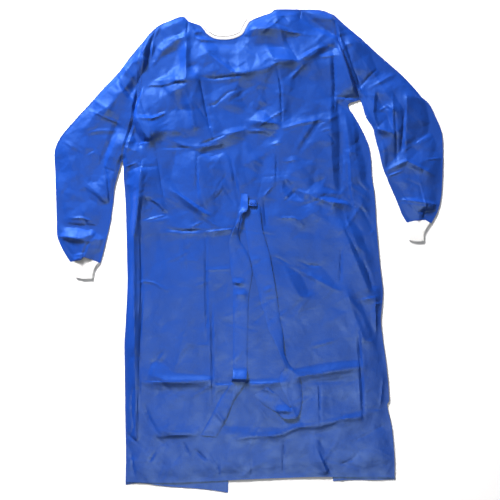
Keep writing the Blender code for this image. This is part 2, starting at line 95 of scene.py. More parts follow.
# Outline of the front: x, y
FRONT_TOP = (
    (-269, 533),
    (-251, 555),
    (-228, 575),
    (-202, 586),
    (-167, 597),
    (-152, 585),
    (-122, 574),
    (-116, 566),
    (-104, 551),
    (-83, 540),
    (-44, 540),
    (-18, 550),
    (-9, 564),
    (5, 586),
    (34, 599),
    (55, 606),
    (68, 615),
    (138, 615),
    (184, 613),
    (217, 601),
)
FRONT_HEM = ((-314, -589), (-200, -591), (-95, -587), (5, -582), (83, -579), (180, -576), (372, -578))
ARMHOLE_LEFT = (
    (-269, 533),
    (-275, 494),
    (-276, 452),
    (-280, 406),
    (-289, 369),
    (-294, 333),
    (-306, 294),
    (-316, 262),
    (-321, 233),
)
ARMHOLE_RIGHT = ((217, 601), (221, 572), (228, 536), (245, 494), (261, 452), (276, 411), (283, 385))

# Sides of the body below the armholes: left x, left y, right x, right y
BODY_SIDES = (
    (-321, 233, 283, 385),
    (-319, 214, 253, 372),
    (-319, 200, 269, 343),
    (-318, 178, 289, 307),
    (-315, 140, 305, 270),
    (-313, 100, 311, 235),
    (-312, 62, 314, 188),
    (-311, 22, 321, 139),
    (-310, -26, 325, 74),
    (-309, -74, 329, 22),
    (-310, -118, 336, -49),
    (-312, -150, 342, -101),
    (-313, -174, 341, -125),
    (-315, -206, 337, -179),
    (-317, -240, 342, -227),
    (-316, -300, 351, -292),
    (-315, -384, 358, -381),
    (-315, -396, 353, -392),
    (-314, -454, 365, -452),
    (-313, -522, 371, -521),
    (-314, -589, 372, -578),
)

# Sleeves from the armhole to the cuff seam: outer x, outer y, inner x, inner y
SLEEVE_LEFT = (
    (-269, 533, -321, 233),
    (-306, 489, -323, 227),
    (-330, 456, -326, 222),
    (-366, 418, -329, 209),
    (-400, 380, -334, 193),
    (-442, 334, -339, 173),
    (-479, 290, -343, 154),
    (-494, 255, -344, 135),
    (-493, 204, -346, 118),
    (-491, 139, -349, 97),
    (-489, 74, -352, 74),
    (-487, 35, -361, 35),
    (-472, 1, -370, -2),
    (-454, -28, -378, -31),
)
SLEEVE_RIGHT = (
    (217, 601, 283, 385),
    (250, 571, 287, 377),
    (287, 540, 293, 359),
    (323, 507, 300, 338),
    (357, 477, 316, 313),
    (391, 447, 321, 293),
    (420, 416, 326, 273),
    (440, 393, 333, 248),
    (460, 374, 337, 229),
    (474, 346, 342, 211),
    (490, 308, 351, 188),
    (494, 275, 359, 168),
    (494.5, 230, 372, 139),
    (493, 178, 383, 112),
    (490, 136, 390, 94),
    (481, 100, 396, 83),
    (465, 70, 403, 72),
)
CUFF_SEAM_LEFT = ((-454, -28), (-426, -23), (-420, -15), (-378, -31))
CUFF_SEAM_RIGHT = ((465, 70), (450, 79), (424, 77), (403, 72))
CUFF_LEFT = ((-454, -28, -378, -31), (-449, -41, -388, -41), (-446, -54, -393, -53), (-441, -67, -396, -70))
CUFF_RIGHT = ((465, 70, 403, 72), (456, 58, 406, 58), (449, 46, 405, 46), (448, 26, 408, 28))
CUFF_END_LEFT = ((-441, -67), (-420, -71), (-396, -70))
CUFF_END_RIGHT = ((448, 26), (428, 24), (408, 28))
CUFF_RIBS = 26
RIB_COLUMNS = 4
RIB_RISE = 0.55
CUFF_PITCH = 1.6
CUFF_HEIGHT = 3.4
CUFF_EDGE_HEIGHT = 1.9
CUFF_WALL = 0.8
CUFF_FACETS = ((22, 0.5, 20, 4),)
# Sewing on the cuff seam: first and last share of its width, count of points, distance above the seam
CUFF_SEWING = (0.03, 0.97, 30)
CUFF_SEWING_UP = 2.2
# Distance of the armhole sewing from the armhole
ARMHOLE_SEWING = 3.6

# Backs: top edge, then the free edge from neck to hem, then the hem, as x, y
BACK_TOP_LEFT = ((-269, 533), (-251, 554), (-228, 574), (-202, 585), (-168, 595), (-158, 587))
BACK_FREE_LEFT = ((-158, 587), (-136, 400), (-118, 233), (-96, -100), (-64, -400), (-52, -560), (-53, -616.2))
BACK_HEM_LEFT = ((-314, -596), (-278, -592), (-213, -600), (-110, -608), (-53, -616.2))
BACK_TOP_RIGHT = ((72, 612), (138, 613), (184, 612), (217, 601))
BACK_FREE_RIGHT = ((72, 612), (100, 500), (118, 385), (160, 0), (196, -400), (212, -560), (215, -587))
BACK_HEM_RIGHT = ((215, -587), (261, -584), (319, -584), (373, -583))

# Neck binding on the front's edge from the first to the last of these points: share of length, width
NECK_FIRST = (-116, 566)
NECK_LAST = (5, 586)
NECK_BINDING = ((0.0, 4.0), (0.12, 9.0), (0.5, 10.0), (0.8, 10.5), (1.0, 11.0))
BINDING_WALL = 1.1
# Its lift over the lowest cloth, its round edge, its sewing's distance from the outer edge, its facets
BINDING_LIFT = 0.1
BINDING_ROUND = 0.5
BINDING_SEWING = 1.2
BINDING_FACETS = ((16, 0.3, 30, 9),)

# Belt tails: left x, left y, right x, right y, height of left and of right edge over the front
BELT_LEFT = (
    (-20, 147, -2, 145, 0.0, 3.0),
    (-20, 128, -2, 125, 1.0, 8.0),
    (-20, 110, -3, 104, 2.0, 8.0),
    (-25, 98, -17, 92, 7.0, 7.0),
    (-27, 84, -20, 80, 7.5, 6.5),
    (-34, 66, -23, 64, 7.5, 5.0),
    (-44, 45, -26, 42, 6.0, 2.6),
    (-50, 27, -20, 22, 4.0, 1.4),
    (-50, 10, -10, 8, 2.0, 1.2),
    (-48, -16, 1, -18, 0.4, 1.4),
    (-45, -54, 8, -54, 0.2, 1.0),
    (-41, -82, 5, -82, 0.3, 0.5),
    (-40, -114, 0, -114, 0.3, 0.3),
    (-40, -190, -2, -190, 0.2, 0.2),
    (-40, -298, -4, -298, 0.3, 0.3),
    (-41, -324, -6, -326, 10.0, 9.0),
    (-44, -332, -9, -334, 3.4, 2.8),
    (-56, -352, -24, -360, 0.8, 0.8),
    (-72, -375, -40, -384, 0.4, 0.5),
    (-88, -406, -52, -414, 1.4, 1.4),
    (-96, -422, -58, -428, 0.8, 0.8),
    (-110, -446, -70, -450, 0.4, 0.5),
    (-122, -469, -82, -473, 0.0, 0.0),
)
BELT_RIGHT = (
    (-1, 118, 28, 118, 0.0, 0.0),
    (-10, 96, 30, 96, 0.6, 1.6),
    (-8, 54, 35, 53, 0.6, 2.2),
    (1, -3, 51, -3, 0.6, 2.4),
    (13, -55, 61, -54, 0.6, 2.6),
    (25, -103, 69, -102, 0.6, 2.2),
    (31, -133, 74, -133, 1.0, 1.0),
    (41, -163, 78, -163, 1.6, 0.4),
    (51, -201, 86, -204, 2.6, 1.0),
    (67, -233, 89, -235, 4.5, 2.0),
    (79, -261, 92, -263, 6.0, 3.0),
    (91, -296, 105, -291, 6.0, 3.0),
    (80, -316, 127, -317, 2.0, 2.0),
    (82, -343, 133, -342, 3.0, 0.5),
    (95, -369, 136, -372, 3.5, 0.5),
    (104, -390, 132, -405, 3.5, 1.0),
    (109, -396, 120, -425, 3.0, 4.0),
    (105, -399, 90, -426, 2.0, 4.0),
    (87, -382, 72, -411, 1.0, 0.8),
    (72, -366, 46, -396, 0.3, 0.3),
    (48, -346, 12, -368, 0.0, 0.0),
)
BELT_TACK = (
    (-1, 131, 20, 130, 0.4, 0.4),
    (-1, 123, 20, 122, 3.0, 3.0),
    (-1, 115, 20, 114, 5.2, 5.2),
)
BELT_WALL = 0.5
BELT_GAP = 0.2
# The belt's round edge, and its facets: spacing, rise, turn in degrees, seed
BELT_ROUND = 0.35
BELT_FACETS = ((26, 0.3, 40, 17), (11, 0.2, 15, 18))
# The belt is clear of the front within this reach, looked at in so many ways
BELT_CLEAR_REACH = 2.4
BELT_CLEAR_WAYS = 6
# Bar of sewing on the tack: how far in from its sides, below its upper row, and above the cloth
BAR_INSET = 0.15
BAR_DOWN = 5.0
BAR_LIFT = 0.1

# Creases across the belt: rise, reach to the left and to the right, then photo column and row
BELT_CREASES = {
    "left upper": (3.2, 15, 7, (233, 282), (244, 284)),
    "left lower": (2.8, 14, 16, (235, 294), (247, 295)),
    "left turn": (1.8, 8, 8, (216, 411), (225, 423)),
    "right tick": (1.8, 9, 7, (264, 291), (271, 288)),
    "right middle": (1.3, 12, 12, (250, 260), (260, 259)),
    "right end": (4.0, 16, 9, (276, 410), (291, 411)),
    "right facet": (2.0, 14, 9, (262, 388), (283, 396)),
}

# Largest folds, each a line of x, y, rise, reach to its left and reach to its right as it runs
FOLDS = {
    "yoke": (
        (-16, 448, 3, 34, 14),
        (57, 471, 6, 56, 20),
        (90, 486, 8, 60, 24),
        (133, 484, 8, 70, 25),
        (182, 523, 8, 56, 24),
        (214, 543, 3, 34, 16),
    ),
    "yoke left": ((-132, 440, 2, 30, 14), (-70, 444, 6, 44, 20), (-9, 450, 5, 40, 20)),
    "shoulder left": ((-164, 566, 1, 20, 30), (-161, 510, 7, 24, 50), (-158, 446, 2, 22, 40)),
    "shoulder cross": ((-236, 524, 2, 30, 24), (-168, 549, 6, 30, 26)),
    "shoulder low": ((-232, 418, 2, 34, 22), (-178, 432, 6, 40, 26), (-140, 436, 2, 30, 20)),
    "shoulder right": ((196, 588, 1, 24, 30), (190, 552, 6, 26, 36), (160, 512, 2, 26, 30)),
    "chest left": ((-122, 437, 2, 26, 40), (-108, 370, 7, 30, 50), (-84, 275, 2, 26, 40)),
    "chest ridge": ((-96, 276, 2, 44, 30), (-50, 294, 5, 60, 42), (-4, 314, 3, 44, 30)),
    "chest roof": ((2, 334, 2, 34, 34), (38, 330, 8, 44, 44), (74, 322, 2, 34, 34)),
    "chest middle": ((74, 466, 2, 34, 30), (77, 400, 6, 40, 34), (72, 330, 2, 30, 30)),
    "chest right": ((190, 340, 2, 40, 26), (140, 327, 7, 46, 34), (88, 315, 2, 36, 26)),
    "chest right low": ((180, 334, 2, 30, 30), (155, 296, 6, 34, 40), (128, 254, 2, 26, 30)),
    "armhole left": ((-290, 352, 2, 26, 26), (-262, 296, 7, 34, 30), (-240, 262, 2, 26, 26)),
    "side left": (
        (-292, 214, 3, 26, 20),
        (-284, 120, 6, 34, 26),
        (-281, 20, 7, 34, 28),
        (-279, -160, 5, 32, 28),
        (-278, -330, 5, 32, 28),
        (-279, -470, 2, 28, 24),
    ),
    "waist left": ((-193, 150, 2, 34, 24), (-140, 122, 7, 40, 28), (-88, 78, 3, 30, 24)),
    "waist cross": ((-226, 44, 2, 40, 20), (-150, 55, 8, 50, 26), (-60, 60, 3, 38, 22)),
    "belt rise": ((-46, 232, 2, 26, 26), (-34, 190, 5, 30, 30), (-24, 152, 2, 24, 24)),
    "waist right": ((66, 256, 2, 30, 34), (66, 190, 5, 34, 38), (44, 140, 2, 26, 30)),
    "waist right low": ((80, 84, 2, 36, 24), (132, 78, 6, 40, 30), (170, 100, 3, 30, 28)),
    "side right": (
        (216, 110, 3, 34, 26),
        (260, 35, 7, 44, 32),
        (290, -26, 7, 40, 32),
        (312, -92, 2, 26, 20),
    ),
    "side right low": (
        (250, -100, 2, 34, 26),
        (278, -146, 6, 42, 32),
        (306, -206, 6, 38, 26),
        (326, -262, 2, 26, 18),
    ),
    "flank right": ((256, 336, 2, 30, 26), (262, 262, 6, 36, 30), (268, 190, 2, 28, 24)),
    "skirt right": ((284, -196, 2, 40, 24), (288, -300, 6, 44, 28), (286, -430, 2, 36, 22)),
    "knee left": (
        (-274, -332, 2, 50, 22),
        (-180, -331, 5, 64, 26),
        (-94, -334, 4, 46, 22),
        (-50, -334, 2, 34, 18),
    ),
    "knee middle": ((44, -334, 2, 34, 18), (90, -332, 4, 42, 18)),
    "knee right": ((126, -320, 3, 46, 20), (206, -310, 5, 60, 26), (284, -297, 3, 44, 20)),
    "shin left": ((-236, -470, 2, 44, 22), (-185, -469, 4, 50, 26), (-134, -466, 2, 40, 22)),
    "shin right": (
        (-20, -474, 2, 36, 20),
        (52, -472, 3, 44, 22),
        (122, -449, 4, 50, 26),
        (235, -428, 4, 50, 26),
        (292, -419, 2, 34, 20),
    ),
    "skirt left": ((-94, -120, 2, 34, 40), (-96, -250, 5, 40, 46), (-94, -392, 2, 34, 34)),
    "skirt hem": ((172, -486, 2, 26, 36), (192, -528, 5, 30, 40), (214, -572, 2, 22, 30)),
    "skirt middle": ((182, -332, 2, 30, 34), (183, -390, 5, 34, 38), (180, -442, 2, 30, 30)),
    "sleeve left top": ((-300, 430, 2, 34, 44), (-352, 366, 8, 40, 60), (-404, 300, 3, 44, 60)),
    "sleeve left inner": ((-330, 302, 2, 26, 26), (-352, 244, 7, 34, 28), (-372, 204, 2, 26, 22)),
    "sleeve left mid": ((-462, 250, 3, 40, 34), (-440, 190, 7, 46, 40), (-426, 140, 3, 36, 30)),
    "sleeve left bend": ((-482, 46, 1, 26, 24), (-430, 34, 8, 30, 30), (-376, 44, 2, 24, 24)),
    "sleeve right top": (
        (262, 520, 3, 36, 44),
        (320, 448, 9, 48, 56),
        (364, 380, 5, 46, 50),
        (392, 300, 2, 40, 44),
    ),
    "sleeve right roof": ((346, 204, 2, 20, 24), (400, 232, 10, 44, 42), (470, 196, 2, 26, 30)),
    "sleeve right bend": ((378, 134, 2, 22, 20), (428, 124, 8, 30, 24), (478, 118, 2, 22, 18)),
}

# Creases: rise, reach to left and to right as the crease runs, then photo column and row of its points
CREASES = {
    "left armhole strip": (-6.0, 10, 22, (157, 26), (151, 44), (149, 62), (141, 88), (134, 113)),
    "left yoke ridge": (3.0, 16, 24, (155, 46), (170, 40), (185, 37)),
    "left yoke edge": (3.6, 22, 30, (187, 34), (186, 56), (186, 80)),
    "neck left band": (2.6, 14, 10, (192, 36), (205, 41), (218, 41)),
    "neck left dip": (-2.0, 8, 8, (188, 19), (187, 36)),
    "left chest dip": (-2.4, 10, 12, (165, 87), (176, 84), (189, 83)),
    "left chest facet": (-4.4, 7, 40, (143, 87), (165, 87)),
    "left chest low": (4.2, 11, 12, (137, 118), (152, 119), (166, 113)),
    "neck diagonal": (-2.6, 10, 12, (208, 52), (220, 60), (233, 69)),
    "middle chest dip": (-3.2, 14, 12, (199, 78), (215, 79), (231, 77), (246, 76)),
    "long chest dip": (-2.6, 11, 10, (200, 79), (205, 105), (209, 125), (215, 143)),
    "long chest strip": (2.6, 16, 24, (186, 92), (190, 108), (194, 128)),
    "chest hook": (-2.2, 9, 10, (206, 107), (215, 105), (228, 93), (238, 90)),
    "neck right edge": (4.2, 30, 32, (247, 31), (262, 30), (278, 29)),
    "neck right rim": (1.6, 14, 10, (272, 17), (298, 15)),
    "neck right line": (2.2, 9, 9, (278, 30), (290, 33), (301, 34)),
    "neck right tick": (-1.6, 5, 6, (283, 16), (289, 23)),
    "shoulder right tick": (-2.2, 7, 8, (301, 8), (300, 19)),
    "shoulder right facet": (-4.0, 44, 14, (299, 18), (318, 28), (337, 38)),
    "yoke right short": (-2.2, 12, 8, (286, 40), (298, 61)),
    "yoke right band": (2.2, 16, 10, (299, 60), (320, 48), (333, 40)),
    "yoke right low": (1.8, 12, 8, (319, 58), (335, 56)),
    "yoke main": (1.6, 20, 12, (239, 74), (258, 72), (270, 68), (277, 63), (301, 63)),
    "yoke streak": (1.3, 6, 6, (268, 51), (275, 62)),
    "yoke streak left": (1.4, 7, 7, (240, 41), (251, 49)),
    "yoke streak low": (1.4, 7, 7, (242, 50), (256, 58)),
    "yoke facet": (1.6, 22, 8, (271, 61), (288, 60)),
    "chest middle line": (-2.2, 10, 9, (277, 67), (281, 90), (282, 126)),
    "chest right diagonal": (2.2, 16, 12, (289, 81), (304, 64)),
    "right armhole strip": (3.2, 8, 16, (338, 42), (344, 62), (351, 84)),
    "right chest strip": (-2.8, 8, 14, (333, 52), (335, 85), (334, 113)),
    "underarm fold": (-4.0, 16, 9, (335, 97), (348, 98), (358, 98)),
    "underarm dip": (-2.4, 10, 12, (336, 102), (349, 111)),
    "left flank diagonal": (5.6, 14, 38, (136, 115), (143, 128), (151, 141)),
    "left flank glint": (2.2, 9, 7, (135, 145), (150, 143)),
    "left flank tick": (2.0, 8, 8, (125, 147), (138, 152)),
    "left flank streak": (1.6, 8, 7, (123, 168), (137, 163)),
    "left flank spot": (-1.8, 6, 7, (140, 158), (142, 166)),
    "left side strip": (4.4, 20, 30, (143, 163), (139, 200), (134, 235), (134, 290), (135, 340), (134, 385)),
    "left side line": (-2.2, 8, 8, (141, 225), (142, 300), (140, 345), (139, 400), (138, 440)),
    "left waist line": (-1.7, 10, 9, (157, 155), (161, 180), (165, 205)),
    "left waist curve": (-2.6, 10, 12, (145, 197), (158, 206), (169, 217)),
    "left waist light": (1.6, 8, 7, (144, 221), (169, 214)),
    "waist arrow": (4.6, 12, 26, (172, 190), (190, 203), (205, 214)),
    "waist arrow tail": (2.2, 10, 12, (203, 217), (218, 227)),
    "waist glint": (1.6, 8, 8, (191, 227), (202, 222)),
    "waist dark": (-4.0, 13, 13, (168, 229), (180, 231), (191, 231), (201, 230)),
    "waist bright": (3.4, 7, 26, (204, 232), (215, 231), (233, 229)),
    "chest left step": (2.4, 16, 24, (194, 146), (208, 147), (223, 144)),
    "chest left arc": (-1.4, 10, 14, (197, 152), (211, 157), (225, 151)),
    "brightest ridge": (4.6, 24, 44, (214, 142), (228, 134), (247, 130)),
    "belt dip left": (-3.2, 12, 15, (222, 146), (231, 158), (237, 190), (240, 206)),
    "chest left level": (-1.4, 10, 10, (156, 148), (196, 148)),
    "chest left upright": (-1.7, 10, 9, (197, 149), (197, 187)),
    "waist faint": (-1.4, 10, 10, (221, 184), (236, 206)),
    "waist faint cross": (-1.2, 8, 8, (214, 201), (224, 189)),
    "roof edge": (3.2, 28, 26, (249, 124), (265, 123), (280, 125)),
    "roof low edge": (0.8, 9, 10, (251, 132), (266, 131), (282, 133)),
    "roof patch": (1.8, 15, 8, (271, 145), (282, 143)),
    "chest right light": (3.2, 14, 14, (283, 129), (300, 124), (320, 120)),
    "chest right dark": (-2.6, 20, 18, (319, 120), (309, 135), (298, 151)),
    "chest patch one": (1.8, 16, 7, (320, 122), (330, 119)),
    "chest patch two": (1.4, 10, 7, (321, 131), (332, 129)),
    "chest patch three": (-1.6, 8, 8, (328, 134), (335, 143)),
    "chest patch four": (1.8, 24, 9, (283, 162), (298, 160)),
    "right flank dip": (-2.4, 16, 24, (337, 103), (342, 130), (343, 160), (341, 190)),
    "right flank ridge": (3.8, 38, 12, (345, 112), (349, 150), (351, 190), (356, 214)),
    "waist right upright": (-1.7, 9, 9, (277, 149), (276, 186)),
    "waist right glint": (1.8, 9, 9, (263, 197), (273, 186)),
    "belt dip right": (-2.3, 10, 10, (264, 199), (266, 226)),
    "waist right diagonal": (3.4, 10, 22, (283, 180), (294, 190), (304, 200)),
    "waist trapezoid": (0.4, 34, 24, (301, 194), (325, 194), (349, 194)),
    "waist wedge": (3.6, 12, 34, (314, 198), (330, 202), (349, 205)),
    "waist trapezoid low": (-0.6, 7, 9, (303, 199), (325, 201), (348, 200)),
    "waist right short": (-2.2, 9, 9, (345, 200), (359, 211)),
    "flank right short": (-1.8, 8, 9, (358, 183), (368, 193)),
    "flank right long": (-2.6, 12, 12, (362, 209), (376, 234)),
    "waist right level": (1.8, 9, 9, (279, 218), (296, 218), (304, 227)),
    "hip crescent": (1.9, 10, 10, (138, 284), (145, 281), (155, 283), (167, 291)),
    "hip light": (1.2, 14, 10, (205, 270), (230, 269)),
    "skirt long line": (-2.0, 13, 10, (206, 236), (206, 290), (207, 342)),
    "skirt band": (2.3, 20, 14, (289, 266), (312, 277), (339, 291)),
    "skirt hook": (-1.5, 8, 8, (299, 261), (308, 265), (321, 266)),
    "skirt upright": (-1.8, 9, 9, (341, 249), (340, 284)),
    "skirt tick one": (-1.6, 6, 6, (272, 256), (278, 258), (292, 266)),
    "skirt tick two": (-1.4, 6, 6, (262, 298), (276, 298)),
    "right diagonal": (-3.4, 15, 22, (337, 214), (350, 238), (360, 258), (368, 272), (373, 291)),
    "right mark": (2.8, 8, 28, (359, 300), (376, 297)),
    "right mark side": (2.2, 7, 20, (375, 304), (384, 302)),
    "right low diagonal": (2.2, 30, 20, (345, 290), (352, 302), (361, 312), (373, 342)),
    "right strip": (2.2, 8, 24, (375, 300), (376, 337)),
    "knee left wedge": (2.2, 22, 34, (148, 374), (168, 380), (190, 380), (213, 379)),
    "knee left level": (2.6, 8, 40, (141, 382), (170, 382), (196, 382)),
    "knee left step": (2.6, 9, 36, (212, 384), (222, 385), (234, 385)),
    "knee middle edge": (2.4, 9, 36, (245, 383), (264, 383), (283, 382)),
    "knee right edge": (1.6, 34, 20, (298, 376), (316, 374), (330, 371), (362, 367)),
    "knee right low": (-1.0, 26, 18, (300, 382), (330, 381), (361, 381)),
    "right skirt line": (-3.8, 13, 13, (358, 330), (361, 370), (363, 419)),
    "shin left edge": (2.2, 22, 14, (158, 436), (175, 435), (194, 435)),
    "shin left bulge": (-2.6, 13, 14, (145, 406), (149, 418), (157, 431)),
    "shin right edge": (
        1.5, 20, 16, (242, 438), (257, 436), (281, 435), (297, 427), (320, 426), (341, 419), (362, 417)
    ),
    "skirt pack line": (-2.2, 12, 10, (212, 300), (212, 350), (213, 406)),
    "hem pack line": (-1.3, 10, 9, (252, 455), (252, 479)),
    "hem pack line two": (-1.5, 10, 9, (284, 440), (283, 477)),
    "shin pack line": (-2.0, 10, 9, (319, 380), (320, 426)),
    "hem diagonal": (-2.8, 16, 12, (316, 442), (323, 458), (333, 477)),
    "skirt patch": (1.4, 18, 9, (311, 347), (337, 340)),
    "hem tick one": (-2.0, 9, 9, (155, 452), (149, 462)),
    "hem tick two": (-2.0, 10, 9, (183, 442), (190, 456)),
    "hem tick three": (-2.4, 10, 9, (196, 450), (206, 460)),
    "hem tick four": (-1.7, 11, 10, (207, 452), (218, 468), (220, 482)),
    "hem tick five": (-1.2, 9, 9, (340, 465), (352, 459)),
    "right side light": (1.7, 9, 9, (383, 377), (380, 407)),
    "left strip facet": (-2.0, 9, 9, (134, 386), (131, 402), (134, 426), (130, 437)),
    "left strip hem": (-2.2, 9, 10, (131, 452), (134, 474)),
    "left strip notch": (-2.0, 8, 8, (128, 434), (137, 442)),
    "left sleeve cap": (2.8, 14, 18, (121, 64), (134, 80)),
    "left sleeve cap dip": (-4.6, 14, 14, (118, 78), (124, 88), (133, 99)),
    "left sleeve glint": (1.8, 8, 8, (91, 111), (104, 117)),
    "left sleeve glint two": (2.2, 10, 9, (103, 117), (121, 124)),
    "left sleeve inner": (-3.6, 46, 20, (120, 116), (109, 144), (99, 170), (92, 186)),
    "left sleeve facet": (3.0, 28, 20, (84, 181), (98, 193), (110, 204)),
    "left sleeve facet edge": (-2.0, 9, 11, (103, 162), (108, 180), (110, 202)),
    "left sleeve low glint": (2.6, 10, 10, (71, 218), (82, 218), (92, 221)),
    "left sleeve bend": (-5.0, 15, 22, (66, 226), (91, 227), (108, 229)),
    "left sleeve low": (3.4, 18, 13, (57, 236), (75, 239), (92, 242)),
    "left sleeve tick": (-2.6, 12, 12, (90, 241), (85, 250), (83, 258)),
    "left cuff glint": (2.2, 10, 8, (70, 256), (85, 254)),
    "left sleeve grey": (2.0, 14, 16, (84, 134), (100, 131), (118, 131)),
    "right sleeve cap": (1.8, 12, 14, (336, 36), (353, 31)),
    "right sleeve spot": (2.2, 12, 14, (370, 88), (393, 75)),
    "right underarm facet": (3.6, 16, 32, (375, 90), (373, 112), (377, 131)),
    "right underarm edge": (2.2, 10, 12, (372, 128), (393, 134)),
    "right sleeve hook": (1.8, 9, 9, (379, 111), (387, 106), (393, 111)),
    "right sleeve upright": (-2.0, 10, 12, (394, 110), (396, 136), (397, 164)),
    "right sleeve upright two": (-1.6, 10, 10, (404, 113), (401, 152)),
    "right sleeve diagonal": (3.0, 16, 20, (402, 152), (415, 144), (429, 135)),
    "right sleeve roof": (3.8, 14, 20, (384, 172), (406, 161), (433, 175)),
    "right sleeve roof glint": (2.2, 7, 8, (386, 177), (402, 171)),
    "right sleeve streak": (1.8, 8, 8, (425, 160), (442, 158)),
    "right sleeve band": (3.2, 14, 12, (394, 199), (415, 201), (439, 205)),
    "right cuff pit": (-5.0, 14, 12, (420, 212), (437, 211)),
    "right cuff fold": (-2.4, 9, 9, (427, 206), (423, 218)),
}

